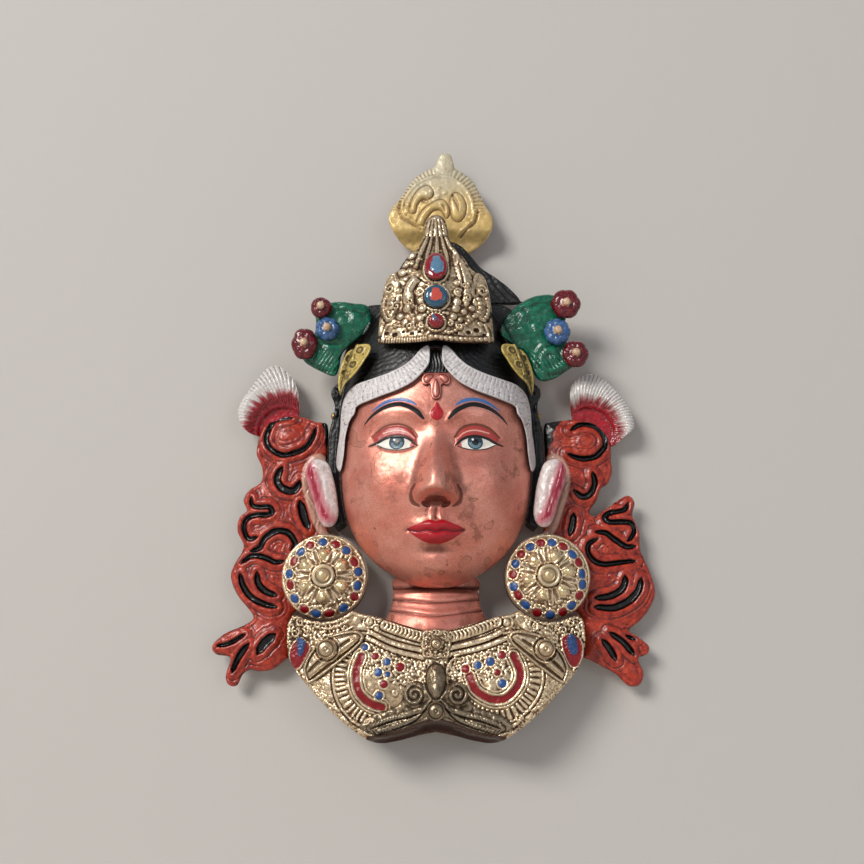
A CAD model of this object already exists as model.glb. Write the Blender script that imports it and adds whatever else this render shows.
import math

import bpy
import numpy as np
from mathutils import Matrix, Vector


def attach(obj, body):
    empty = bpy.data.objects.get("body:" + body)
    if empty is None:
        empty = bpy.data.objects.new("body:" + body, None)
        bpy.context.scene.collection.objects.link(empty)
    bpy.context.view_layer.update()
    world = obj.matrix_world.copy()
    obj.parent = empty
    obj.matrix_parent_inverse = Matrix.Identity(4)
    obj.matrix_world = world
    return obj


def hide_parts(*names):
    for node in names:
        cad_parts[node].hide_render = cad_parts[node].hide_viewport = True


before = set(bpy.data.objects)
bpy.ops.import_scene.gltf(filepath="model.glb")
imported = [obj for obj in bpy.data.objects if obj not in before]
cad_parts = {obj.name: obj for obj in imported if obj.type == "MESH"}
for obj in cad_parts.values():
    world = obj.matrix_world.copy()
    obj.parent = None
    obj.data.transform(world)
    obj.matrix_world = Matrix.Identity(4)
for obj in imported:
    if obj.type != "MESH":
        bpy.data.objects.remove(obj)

# A painted repousse mask in front of a pale board. Design space is the CAD's: millimetres, x to the viewer's
# right, z up, depth towards the viewer from the wall plane; a point (x, depth, z) goes to (x, -depth, z) in
# metres. Every hammered sheet is a relief: a height map over a plan outline.

MM = 0.001
SHEET = 1.3           # metal thickness of the hammered sheets
REACH = 14.0          # longest edge distance that a relief keeps
UNPAINTED = -3.0      # value of a paint field well away from its paint
STEEPEST = 6.0        # largest squared slope that a sheet's thickness follows

# Driving dimensions of the head, and places that pieces share, all as in the CAD.
HEAD_DEPTH, HEAD_HALF_WIDTH, HEAD_CENTRE_Z = 46.0, 48.0, -20.0
HEAD_UP, HEAD_DOWN, HEAD_POWER = 90.0, 62.0, 2.2
HAIR_RISE, HAIR_FLOOR = 1.5, 13.5
FACE_RIM, LEAF_DEPTH, WING_DEPTH, EARRING_RIM = 12.0, 19.4, 8.6, 11.6
EARRING_X, EARRING_Z, EARRING_R, EARRING_HOLE = 51.3, -71.6, 19.9, 1.7
ARMLET_X, ARMLET_Z, CLASP_Z, PENDANT_Z, STUD_HOLE = 48.6, -104.6, -102.4, -131.2, 1.5
PIN_HOLE, STUD_SHANK = 1.4, 1.1
RING_Z, RING_DEPTH, RING_WIRE, RING_R, RING_CORNER = 37.5, 3.3, 1.1, 8.0, 2.0

# The stage, in metres.
WALL_Y, FLOOR_Z, STAGE_REACH = 0.0008, -0.26, 3
CAMERA = (0.0, -0.5478, -0.1164)      # 0.56 m from the mask and 12 degrees below it, as in the photograph
FRAME_PIXELS = 864

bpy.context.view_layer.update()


# ---------------------------------------------------------------- plan curves

def catmull(a, b, c, d, t):
    """A point on the Catmull-Rom span from b to c."""
    square = 2 * a - 5 * b + 4 * c - d
    cube = 3 * b - a - 3 * c + d
    return 0.5 * (2 * b + (c - a) * t + square * t * t + cube * t ** 3)


def spline(points, step=0.8, closed=False):
    """Points along a smooth curve through the given points, about step apart."""
    p = [np.array(q, float) for q in points]
    ends = [p[-1]] + p + p[:2] if closed else [2 * p[0] - p[1]] + p + [2 * p[-1] - p[-2]]
    found = []
    for a, b, c, d in zip(ends, ends[1:], ends[2:], ends[3:]):
        count = max(1, round(float(np.linalg.norm(c - b)) / step))
        found += [catmull(a, b, c, d, k / count) for k in range(count)]
    return np.array(found if closed else found + [p[-1]])


def arc(cx, cz, radius, start, end, step):
    """Points on an arc, angles in degrees anticlockwise from +x as seen from the front."""
    count = max(2, round(abs(math.radians(end - start)) * radius / step))
    a = np.radians(np.linspace(start, end, count + 1))
    return np.stack([cx + radius * np.cos(a), cz + radius * np.sin(a)], 1)


def circle(cx, cz, radius, count):
    """Points round a circle, anticlockwise from +x."""
    a = 2 * math.pi * np.arange(count) / count
    return np.stack([cx + radius * np.cos(a), cz + radius * np.sin(a)], 1)


def flip(points):
    """The same line on the other side of the mid-plane."""
    return np.array(points) * (-1, 1)


def both_halves(half):
    """A closed outline from its right half, which runs from the top centre down to the bottom centre."""
    half = np.array(half)
    left = flip(half)[::-1]
    return np.concatenate([half, left[np.abs(left[:, 0]) > 1e-6]])


def side(points, sign):
    """An outline of the right side, or its mirror image on the left."""
    return np.array(points) if sign > 0 else flip(points)[::-1]


def anticlockwise(loop):
    p = np.array(loop)
    q = np.roll(p, -1, axis=0)
    return p if (p[:, 0] * q[:, 1] - q[:, 0] * p[:, 1]).sum() > 0 else p[::-1]


def inset(loop, width):
    """An anticlockwise loop moved inwards by width."""
    e1 = loop - np.roll(loop, 1, axis=0)
    e2 = np.roll(loop, -1, axis=0) - loop
    e1 /= np.linalg.norm(e1, axis=1)[:, None]
    e2 /= np.linalg.norm(e2, axis=1)[:, None]
    n = np.stack([-e1[:, 1] - e2[:, 1], e1[:, 0] + e2[:, 0]], 1)
    return loop + width * n * 2 / np.maximum((n * n).sum(1), 1.2)[:, None]


def length_of(line):
    return np.linalg.norm(np.diff(line, axis=0), axis=1).sum()


def spiral(x, z, radius, turns, start, count, wind):
    """A line that winds in towards (x, z) from radius, losing the share wind of it on the way."""
    a = np.linspace(0, turns * 2 * math.pi, count)
    r = radius * (1 - wind * np.abs(a) / (abs(turns) * 2 * math.pi))
    s = math.radians(start)
    return np.stack([x + r * np.cos(s + a), z + r * np.sin(s + a)], 1)


def walk(line, spacing, closed):
    """Places at equal steps along a line, half a step in from its ends."""
    p = np.array(line, float)
    if closed:
        p = np.concatenate([p, p[:1]])
    step = np.linalg.norm(np.diff(p, axis=0), axis=1)
    run = np.concatenate([[0], np.cumsum(step)])
    count = max(1, round(run[-1] / spacing))
    found = []
    for k in range(count):
        s = run[-1] * (k + 0.5) / count
        j = min(int(np.searchsorted(run, s, "right")) - 1, len(step) - 1)
        t = (s - run[j]) / max(step[j], 1e-9)
        found.append(p[j] + t * (p[j + 1] - p[j]))
    return found


# ---------------------------------------------------------------- profiles and depths, as in the CAD

def smooth_step(v, low, high):
    t = np.clip((v - low) / (high - low), 0, 1)
    return t * t * (3 - 2 * t)


def crest(distance, half, at=0.0):
    """A rounded ridge: 1 where distance is at, and 0 from half away on either side."""
    return np.clip(1 - ((distance - at) / half) ** 2, 0, 1)


def beat(along, period):
    """A cosine between 0 and 1."""
    return 0.5 + 0.5 * np.cos(2 * np.pi * along / period)


def level(depth):
    """A flat surface at a depth."""
    return lambda x, z: depth + 0 * x


def smooth_max(a, b, width):
    """The larger of two depths, rounded where they meet."""
    h = np.clip(0.5 + 0.5 * (a - b) / width, 0, 1)
    return b + (a - b) * h + width * h * (1 - h)


def bump(x, z, cx, cz, rx, rz, rise):
    return rise * np.exp(-((x - cx) / rx) ** 2 - ((z - cz) / rz) ** 2)


def laid_on(base, offset):
    """A surface that stands off another by offset, measured square to it."""
    def depth(x, z):
        small = 0.4
        dx = (base(x + small, z) - base(x - small, z)) / (2 * small)
        dz = (base(x, z + small) - base(x, z - small)) / (2 * small)
        return base(x, z) + offset * np.sqrt(1 + np.minimum(dx * dx + dz * dz, STEEPEST))
    return depth


def head(x, z):
    reach = np.where(z > HEAD_CENTRE_Z, HEAD_UP, HEAD_DOWN)
    left = 1 - np.abs(x / HEAD_HALF_WIDTH) ** HEAD_POWER - np.abs((z - HEAD_CENTRE_Z) / reach) ** HEAD_POWER
    return HEAD_DEPTH * np.maximum(left, 1e-4) ** (1 / HEAD_POWER)


def hair(x, z):
    return smooth_max(head(x, z) + HAIR_RISE, HAIR_FLOOR + 0 * x, 4.0)


def face(x, z):
    ax = np.abs(x)
    depth = head(x, z) - bump(ax, z, 17.5, -12, 11, 7, 4.5) + bump(ax, z, 17.6, -13, 8, 5, 4.0)
    depth += bump(ax, z, 16, -1, 15, 4.5, 1.4) + bump(ax, z, 27, -34, 13, 14, 2.0)
    ridge = smooth_step(z, -41.5, -36) * smooth_step(-z, -2, 34)
    half = 5.0 + 3.0 * smooth_step(-z, 12, 38)
    depth += (3.0 + 11.5 * smooth_step(-z, 2, 36)) * ridge * np.exp(-np.abs(x / half) ** 2.4)
    depth += bump(ax, z, 7.0, -38.5, 3.4, 3.6, 4.5)
    depth += bump(x, z, 0, -53.5, 13, 7.5, 2.5)
    depth += bump(x, z, 0, -51, 9, 2.4, 2.0) + bump(x, z, 0, -56.6, 8, 2.6, 2.4)
    depth -= bump(x, z, 0, -61.8, 9, 2.6, 1.4)
    return depth + bump(x, z, 0, -69, 11, 7, 4.0)


def neck(x, z):
    centre = 15.0 + 3.6 * smooth_step(-z, 76, 79.5) + 5.0 * smooth_step(-z, 79, 96)
    return centre - 9.0 * np.abs(x / 22) ** 2.2


def breastplate(x, z):
    ax = np.abs(x)
    depth = 26.6 - 5.0 * smooth_step(ax, 40, 68) + bump(ax, z, 27, -120, 17, 12, 4.0)
    return depth + bump(x, z, 0, -124, 9, 15, 3.0)


def topknot(x, z):
    half = 26.0 - 0.62 * np.maximum(z - 62, 0)
    return 12.0 + 14.0 * np.sqrt(crest(x, half)) * smooth_step(-z, -94, -80)


def crown(x, z):
    centre = 48.5 - 1.0 * smooth_step(z, 32, 60) - 15.0 * smooth_step(z, 58, 98)
    return centre - 10.0 * (x / 26) ** 2


def leaf(x, z):
    return smooth_max(laid_on(hair, 2.9)(x, z), LEAF_DEPTH + 0 * x, 2.0)


# ---------------------------------------------------------------- reliefs

def speckle(x, z, size, seed):
    """Smooth value noise between 0 and 1, the same on every run."""
    def corner(i, j):
        n = (i * 374761393 + j * 668265263 + seed * 974634777).astype(np.int64)
        n = ((n ^ (n >> 13)) & 0xFFFFFFFF) * 1274126177 & 0xFFFFFFFF
        return ((n ^ (n >> 16)) & 0xFFFF) / 65535.0
    u, v = np.asarray(x) / size, np.asarray(z) / size
    i, j = np.floor(u).astype(np.int64), np.floor(v).astype(np.int64)
    fu, fv = u - i, v - j
    fu, fv = fu * fu * (3 - 2 * fu), fv * fv * (3 - 2 * fv)
    low = corner(i, j) * (1 - fu) + corner(i + 1, j) * fu
    high = corner(i, j + 1) * (1 - fu) + corner(i + 1, j + 1) * fu
    return low * (1 - fv) + high * fv


def blur(grid, times):
    """A grid smoothed by repeated small averages."""
    g = grid
    for _ in range(times):
        p = np.pad(g, 1, mode="edge")
        g = 0.25 * (p[:-2, 1:-1] + 2 * g + p[2:, 1:-1])
        p = np.pad(g, 1, mode="edge")
        g = 0.25 * (p[1:-1, :-2] + 2 * g + p[1:-1, 2:])
    return g


class Relief:
    """A height map over a plan outline, worked with bosses and strokes, then made into a closed sheet."""

    def __init__(self, outline, base, pitch=0.45, holes=(), pillow=(0.0, 1.0)):
        loop = anticlockwise(outline)
        self.pitch = pitch
        low, high = loop.min(0) - 2 * pitch, loop.max(0) + 2 * pitch
        self.xs = np.arange(low[0], high[0] + pitch, pitch)
        self.zs = np.arange(low[1], high[1] + pitch, pitch)
        self.x, self.z = np.meshgrid(self.xs, self.zs)
        self.edge = self.inside(loop, REACH)
        self.rim_edge = self.edge.copy()
        for hole in holes:
            self.edge = np.minimum(self.edge, -self.inside(hole, 4.0))
        rise, reach = pillow
        self.h = base(self.x, self.z) + rise * (1 - np.exp(-np.maximum(self.rim_edge, 0) / reach))
        self.paints = {}

    def window(self, low, high):
        """The part of the grid between two corners."""
        c0 = max(0, int((low[0] - self.xs[0]) / self.pitch))
        c1 = max(0, int((high[0] - self.xs[0]) / self.pitch) + 2)
        r0 = max(0, int((low[1] - self.zs[0]) / self.pitch))
        r1 = max(0, int((high[1] - self.zs[0]) / self.pitch) + 2)
        return slice(r0, r1), slice(c0, c1)

    def trace(self, line, reach, closed=False):
        """Distance to a line, up to reach, with the length along it and the side (1 to its left)."""
        p = np.array(line, float)
        q = np.roll(p, -1, axis=0) if closed else p[1:]
        far = np.full(self.x.shape, float(reach))
        along = np.zeros(self.x.shape)
        hand = np.zeros(self.x.shape)
        run = 0.0
        for a, b in zip(p, q):
            ab = b - a
            length = float(np.hypot(*ab))
            if length < 1e-9:
                continue
            w = self.window(np.minimum(a, b) - reach, np.maximum(a, b) + reach)
            dx, dz = self.x[w] - a[0], self.z[w] - a[1]
            t = np.clip((dx * ab[0] + dz * ab[1]) / length ** 2, 0, 1)
            ex, ez = dx - t * ab[0], dz - t * ab[1]
            d = np.sqrt(ex * ex + ez * ez)
            near = d < far[w]
            far[w][near] = d[near]
            along[w][near] = (run + t * length)[near]
            hand[w][near] = np.sign(ab[0] * ez - ab[1] * ex)[near]
            run += length
        return far, along, hand

    def inside(self, loop, reach):
        """Signed distance to a loop, up to reach: positive inside."""
        loop = np.array(loop, float)
        far, _, _ = self.trace(loop, reach, closed=True)
        odd = np.zeros(self.x.shape, bool)
        for a, b in zip(loop, np.roll(loop, -1, axis=0)):
            if a[1] == b[1]:
                continue
            low, high = sorted((a[1], b[1]))
            r0, r1 = np.searchsorted(self.zs, low), np.searchsorted(self.zs, high)
            crossing = a[0] + (self.zs[r0:r1] - a[1]) * (b[0] - a[0]) / (b[1] - a[1])
            odd[r0:r1] ^= self.xs[None, :] < crossing[:, None]
        return np.where(odd, far, -far)

    def paint(self, name, field):
        """Adds a painted area: positive inside, in millimetres from its edge."""
        old = self.paints.get(name)
        self.paints[name] = field if old is None else np.maximum(old, field)

    def boss(self, x, z, rx, rise, rz=None, turn=0.0, power=0.5, paint=None, grow=0.0):
        """A round boss, or a pit where rise is negative; power 0.5 is a half sphere, 1 a soft mound."""
        rz = rz or rx
        reach = max(rx, rz) + max(grow, 0) + 1
        w = self.window((x - reach, z - reach), (x + reach, z + reach))
        if self.x[w].size == 0:
            return
        a = math.radians(turn)
        dx, dz = self.x[w] - x, self.z[w] - z
        u, v = dx * math.cos(a) + dz * math.sin(a), dz * math.cos(a) - dx * math.sin(a)
        ratio = np.sqrt((u / rx) ** 2 + (v / rz) ** 2)
        self.h[w] += rise * np.clip(1 - ratio ** 2, 0, 1) ** power
        if paint:
            field = self.paints.setdefault(paint, np.full(self.x.shape, UNPAINTED))
            field[w] = np.maximum(field[w], (1 - ratio) * min(rx, rz) + grow)

    def stroke(self, line, width, rise, power=1.0, closed=False, taper=0.0, paint=None, grow=0.0):
        """A ridge, or a groove where rise is negative; taper narrows it towards its ends."""
        line = np.array(line, float)
        d, along, _ = self.trace(line, width + max(grow, 0) + 0.6, closed)
        full = width
        if taper:
            length = length_of(line)
            full = width * (1 - taper + taper * np.sqrt(np.clip(np.sin(np.pi * along / length), 0, 1)) + 1e-3)
        self.h += rise * crest(d, full) ** power
        if paint:
            self.paint(paint, full + grow - d)

    def area(self, loop, rise, reach, paint=None, grow=0.0):
        """A raised area with a rounded edge; rise may be negative. Gives back the distance inside it."""
        e = self.inside(loop, max(3 * reach, 2.0))
        self.h += rise * (1 - np.exp(-np.maximum(e, 0) / reach))
        if paint:
            self.paint(paint, e + grow)
        return e

    def beads(self, line, spacing, radius, rise, closed=False):
        for x, z in walk(line, spacing, closed):
            self.boss(x, z, radius, rise)

    def grain(self, size, rise, seed, mask=1.0):
        """Uneven hammering, size millimetres across."""
        self.h += rise * mask * (speckle(self.x, self.z, size, seed) - 0.5)

    def curl(self, x, z, radius, turns, start, width, rise, hole=0.0):
        """A spiral ridge that winds in to (x, z)."""
        self.stroke(spiral(x, z, radius, turns, start, int(abs(turns) * 40) + 8, 0.86), width, rise,
                    power=0.7)
        if hole:
            self.boss(x, z, hole, -rise * 1.2, power=1)

    # ------------------------------------------------------------ mesh

    def sample(self, grid, x, z):
        """A grid's values at places between its points."""
        u = np.clip((x - self.xs[0]) / self.pitch, 0, len(self.xs) - 1.001)
        v = np.clip((z - self.zs[0]) / self.pitch, 0, len(self.zs) - 1.001)
        i, j = u.astype(int), v.astype(int)
        fu, fv = u - i, v - j
        low = grid[j, i] * (1 - fu) + grid[j, i + 1] * fu
        high = grid[j + 1, i] * (1 - fu) + grid[j + 1, i + 1] * fu
        return low * (1 - fv) + high * fv

    def plan(self):
        """Vertices (x, z) and triangles of the outline: whole cells inside, cut cells along its edge."""
        rows, columns = self.x.shape
        value, x, z = self.edge.copy(), self.x.copy(), self.z.copy()
        gz, gx = np.gradient(self.edge, self.pitch)
        size = np.maximum(np.hypot(gx, gz), 0.4)
        near = np.abs(value) < 0.3 * self.pitch
        x[near] -= (value * gx / size ** 2)[near]
        z[near] -= (value * gz / size ** 2)[near]
        value[near] = 0
        node = np.arange(rows * columns).reshape(rows, columns)
        a, b, c, d = node[:-1, :-1], node[:-1, 1:], node[1:, 1:], node[1:, :-1]
        odd = ((np.arange(rows - 1)[:, None] + np.arange(columns - 1)[None, :]) % 2).astype(bool)
        first = np.where(odd[..., None], np.stack([a, b, d], 2), np.stack([a, b, c], 2))
        second = np.where(odd[..., None], np.stack([b, c, d], 2), np.stack([a, c, d], 2))
        tri = np.concatenate([first.reshape(-1, 3), second.reshape(-1, 3)])
        v, was = value.ravel(), self.edge.ravel()
        px, pz = x.ravel(), z.ravel()
        within = v[tri] >= 0
        count = within.sum(1)
        whole = tri[(count == 3) & ((v[tri].max(1) > 0) | (was[tri].mean(1) > 0))]
        two, one = tri[count == 2], tri[count == 1]
        turn = np.argmin(v[two] >= 0, axis=1)       # the corner outside goes last
        two = two[np.arange(len(two))[:, None], (turn[:, None] + np.array([1, 2, 0])) % 3]
        turn = np.argmax(v[one] >= 0, axis=1)       # the corner inside goes first
        one = one[np.arange(len(one))[:, None], (turn[:, None] + np.array([0, 1, 2])) % 3]
        total = len(v)
        pairs = np.concatenate([two[:, [1, 2]], two[:, [0, 2]], one[:, [0, 1]], one[:, [0, 2]]])
        key = pairs[:, 0] * total + pairs[:, 1]
        made, index = np.unique(key, return_inverse=True)
        ins, outs = made // total, made % total
        t = v[ins] / (v[ins] - v[outs])
        new = np.where(v[ins] == 0, ins, total + np.arange(len(made)))
        px = np.concatenate([px, px[ins] + t * (px[outs] - px[ins])])
        pz = np.concatenate([pz, pz[ins] + t * (pz[outs] - pz[ins])])
        cut = new[index.reshape(-1)]
        n, m = len(two), len(one)
        bc, ac, ab1, ac1 = cut[:n], cut[n:2 * n], cut[2 * n:2 * n + m], cut[2 * n + m:]
        tri = np.concatenate([
            whole, np.stack([two[:, 0], two[:, 1], bc], 1), np.stack([two[:, 0], bc, ac], 1),
            np.stack([one[:, 0], ab1, ac1], 1)])
        tri = tri[(tri[:, 0] != tri[:, 1]) & (tri[:, 1] != tri[:, 2]) & (tri[:, 0] != tri[:, 2])]
        used, tri = np.unique(tri, return_inverse=True)
        return px[used], pz[used], tri.reshape(-1, 3)

    def build(self, name, slot, material, thickness=SHEET, rim=None, roll=0.8, soften=6, wobble=0.0):
        """The closed sheet as an object that replaces its CAD node. rim gives the depth that an edge is
        turned back to, or NaN where the edge stays open."""
        x, z, tri = self.plan()
        count = len(x)
        s = np.maximum(self.sample(self.edge, x, z), 0)
        front = self.sample(self.h, x, z) - np.clip(roll - s, 0, None) ** 2 / (2 * roll)
        smooth = blur(self.h, soften)
        gz, gx = np.gradient(smooth, self.pitch)
        slope = np.sqrt(1 + np.minimum(gx * gx + gz * gz, STEEPEST))
        back = np.minimum(self.sample(smooth - thickness * slope, x, z), front - 0.5 * thickness)
        edges = np.concatenate([tri[:, [0, 1]], tri[:, [1, 2]], tri[:, [2, 0]]])
        forward = edges[:, 0] * count + edges[:, 1]
        rim_edges = edges[~np.isin(forward, edges[:, 1] * count + edges[:, 0])]
        border = np.unique(rim_edges)
        bx, bz = x[border], z[border]
        turned = np.full(len(border), np.nan) if rim is None else rim(bx, bz) + 0 * bx
        on_hole = self.sample(self.rim_edge, bx, bz) > 0.8
        turned[on_hole] = np.nan
        open_edge = np.isnan(turned)
        depth_rim = np.where(open_edge, back[border], np.minimum(turned, back[border] - 0.4))
        # The turned wall takes the sheet's thickness off the plan of the back.
        ez, ex = np.gradient(self.rim_edge, self.pitch)
        ex, ez = blur(ex, 2), blur(ez, 2)
        if rim is not None:
            full = rim(x, z) + 0 * x
            has_wall = np.where(np.isnan(full), 0.0, 1.0)
            e = np.maximum(self.sample(self.rim_edge, x, z), 0)
            move = has_wall * thickness * np.clip(1 - e / (3 * thickness), 0, 1)
        else:
            move = np.zeros(count)
        nx, nz = self.sample(ex, x, z), self.sample(ez, x, z)
        size = np.maximum(np.hypot(nx, nz), 0.3)
        back_x, back_z = x + move * nx / size, z + move * nz / size
        # Rings of points down the wall, at these shares of its height.
        steps = [0.03, 0.2, 0.4, 0.6, 0.8, 0.97, 1.0]
        rings = []
        f, r = front[border], depth_rim
        for k, t in enumerate(steps):
            down = f + (r - f) * t if k else np.where(open_edge, f + (r - f) * 0.12, f - 0.35)
            dent = wobble * np.where(open_edge, 0, 1) * math.sin(math.pi * t)
            push = dent * speckle(bx + down, bz - down, 3.0, 5)
            rings.append((bx + push * nx[border], down, bz + push * nz[border]))
        lip_x = np.where(open_edge, bx, back_x[border])
        lip_z = np.where(open_edge, bz, back_z[border])
        lip_level = np.where(open_edge, back[border], depth_rim)
        rings.append((lip_x, lip_level, lip_z))
        co = [np.stack([x, -front, z], 1), np.stack([back_x, -back, back_z], 1)]
        slot_of = np.full(count, -1)
        slot_of[border] = np.arange(len(border))
        u, v = slot_of[rim_edges[:, 0]], slot_of[rim_edges[:, 1]]
        faces = [tri, tri[:, ::-1] + count]
        wide, layers = len(border), len(rings)
        ids = [border]
        for k, (rx, rd, rz) in enumerate(rings):
            ids.append(2 * count + k * wide + np.arange(wide))
            co.append(np.stack([rx, -rd, rz], 1))
        ids.append(border + count)
        for upper, lower in zip(ids, ids[1:]):
            faces.append(np.stack([upper[v], upper[u], lower[u]], 1))
            faces.append(np.stack([upper[v], lower[u], lower[v]], 1))
        co = np.concatenate(co) * MM
        faces = np.concatenate(faces)
        mesh = bpy.data.meshes.new(name)
        mesh.from_pydata(co.tolist(), [], faces.tolist())
        mesh.shade_smooth()
        zero, one = np.zeros, np.ones
        set_values(mesh, "bare", [zero(count), one(count), zero(wide * (layers - 1)), one(wide)])
        set_values(mesh, "wall", [zero(count), one(count), *(np.full(wide, t) for t in steps), one(wide)])
        fine, broad = blur(self.h, 6) - self.h, blur(self.h, 40) - self.h
        for key, grid in {"cavity": fine, "hollow": broad, **self.paints}.items():
            value = self.sample(grid, x, z)
            painted = key in self.paints
            # Paint runs down the wall, while the shading of the relief fades out below its edge.
            fades = [value[border] * (1.0 if painted else (1 - t) ** 3) for t in (*steps, 1.0)]
            set_values(mesh, key, [value, np.full(count, UNPAINTED if painted else 0.0), *fades])
        place(name, mesh, slot, material)


def set_values(mesh, key, parts):
    """Stores one number per vertex for the materials to read."""
    layer = mesh.attributes.new(key, "FLOAT", "POINT")
    layer.data.foreach_set("value", np.concatenate(parts).astype(np.float32))


def place(name, mesh, slot, material, body="mask"):
    """Puts a finished mesh in the scene on its body, in place of the CAD node of the same name."""
    mesh.materials.append(material)
    obj = bpy.data.objects.new(name + "_v", mesh)
    bpy.context.scene.collection.objects.link(obj)
    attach(obj, body)
    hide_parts(name)


# ---------------------------------------------------------------- materials

def rgb(r, g, b):
    """A display colour of 0 to 255 as linear light."""
    c = np.array([r, g, b]) / 255
    return (*np.where(c <= 0.04045, c / 12.92, ((c + 0.055) / 1.055) ** 2.4).tolist(), 1.0)


class Graph:
    """A material's node tree, written as nested calls."""

    def __init__(self, name):
        self.material = bpy.data.materials.new(name)
        self.material.use_nodes = True
        self.tree = self.material.node_tree
        self.tree.nodes.clear()
        self.where = self.node("TexCoord").outputs["Object"]

    def node(self, kind, inputs=(), **settings):
        made = self.tree.nodes.new("ShaderNode" + kind)
        for key, value in settings.items():
            setattr(made, key, value)
        for socket, value in dict(inputs).items():
            if isinstance(value, bpy.types.NodeSocket):
                self.tree.links.new(value, made.inputs[socket])
            else:
                made.inputs[socket].default_value = value
        return made

    def math(self, operation, a, b=0.0):
        return self.node("Math", {0: a, 1: b}, operation=operation).outputs[0]

    def times(self, a, b):
        return self.math("MULTIPLY", a, b)

    def plus(self, a, b):
        return self.math("ADD", a, b)

    def mix(self, factor, a, b):
        return self.node("Mix", {0: factor, 6: a, 7: b}, data_type="RGBA").outputs[2]

    def tint(self, colour, mask, strength, tint):
        """A colour with another mixed in where mask is 1."""
        return self.mix(self.times(mask, strength), colour, tint)

    def blend(self, factor, a, b):
        return self.node("Mix", {0: factor, 2: a, 3: b}).outputs[0]

    def step(self, value, low, high):
        return self.node("MapRange", {0: value, 1: low, 2: high}, interpolation_type="SMOOTHSTEP").outputs[0]

    def noise(self, size, detail, roughness=0.55, stretch=(1, 1, 1)):
        """Noise from 0 to 1 whose blotches are about size millimetres."""
        where = self.where
        if stretch != (1, 1, 1):
            where = self.node("Mapping", {0: where, 3: stretch}).outputs[0]
        inputs = {"Vector": where, "Scale": 1000 / size, "Detail": detail, "Roughness": roughness}
        return self.node("TexNoise", inputs).outputs[0]

    def sway(self, amount, *noise):
        """Noise about 0, amount from end to end."""
        return self.times(self.math("SUBTRACT", self.noise(*noise), 0.5), amount)

    def attribute(self, name):
        return self.node("Attribute", attribute_name=name).outputs["Fac"]

    def coat(self, base, key, colour, roughness, wobble, level, soft=0.1):
        """The painted area key, level high, over a base of (colour, roughness, metallic, height)."""
        mask = self.step(self.plus(self.attribute(key), self.sway(wobble, 0.9, 2)), -soft, soft)
        under, rough, metal, height = base
        return (self.mix(mask, under, colour), self.blend(mask, rough, roughness),
                self.blend(mask, metal, 0.0), self.plus(height, self.times(mask, level)))

    def shade(self, colour, lightness):
        """A colour made lighter or darker by a factor."""
        return self.node("HueSaturation", {"Color": colour, "Value": lightness}).outputs[0]

    def finish(self, state, relief, coat=0.0, coat_rough=0.15):
        """The output, with bare, aged metal on the back of the sheet; relief is the bump's height in mm."""
        colour, rough, metal, height = state
        bare = self.step(self.attribute("bare"), 0.3, 0.6)
        blotch = self.noise(9, 5, 0.65)
        aged = self.mix(self.step(blotch, 0.35, 0.7), rgb(74, 52, 42), rgb(128, 84, 62))
        aged = self.mix(self.step(self.noise(3, 5, 0.7), 0.55, 0.75), aged, rgb(60, 66, 56))
        colour = self.mix(bare, colour, aged)
        rough = self.blend(bare, rough, self.blend(blotch, 0.42, 0.7))
        metal = self.blend(bare, metal, 0.75)
        height = self.plus(height, self.times(self.noise(2.5, 4), 0.5))
        normal = self.node("Bump", {"Height": height, "Distance": relief * MM, "Strength": 1.0}).outputs[0]
        shader = self.node("BsdfPrincipled", {
            "Base Color": colour, "Roughness": rough, "Metallic": metal, "Normal": normal,
            "Coat Weight": coat, "Coat Roughness": coat_rough})
        out = self.node("OutputMaterial", {0: shader.outputs[0]})
        out.is_active_output = True
        return self.material


RED, BLUE = rgb(134, 4, 18), rgb(34, 76, 136)


def metal_state(g, high, middle, low, dirt, roughness, metallic, grain=0.5):
    """Metallic paint or leaf: bright where it stands proud and dark in its recesses."""
    cavity = g.attribute("cavity")
    proud = g.step(cavity, 0.14, -0.16)
    colour = g.mix(g.step(g.noise(5, 4, 0.6), 0.35, 0.65), middle, g.shade(middle, 0.86))
    colour = g.tint(colour, proud, 0.9, high)
    deep = g.plus(g.plus(cavity, g.times(g.attribute("hollow"), 0.35)), g.sway(0.22, 0.8, 3, 0.7))
    pit = g.times(g.step(deep, 0.05, 0.34), dirt)
    colour = g.mix(pit, colour, low)
    rough = g.blend(pit, g.blend(g.noise(1.6, 3), roughness - 0.08, roughness + 0.12), 0.62)
    height = g.times(g.noise(0.55, 3, 0.7), grain)
    return colour, rough, g.blend(pit, metallic, metallic * 0.6), height


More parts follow.
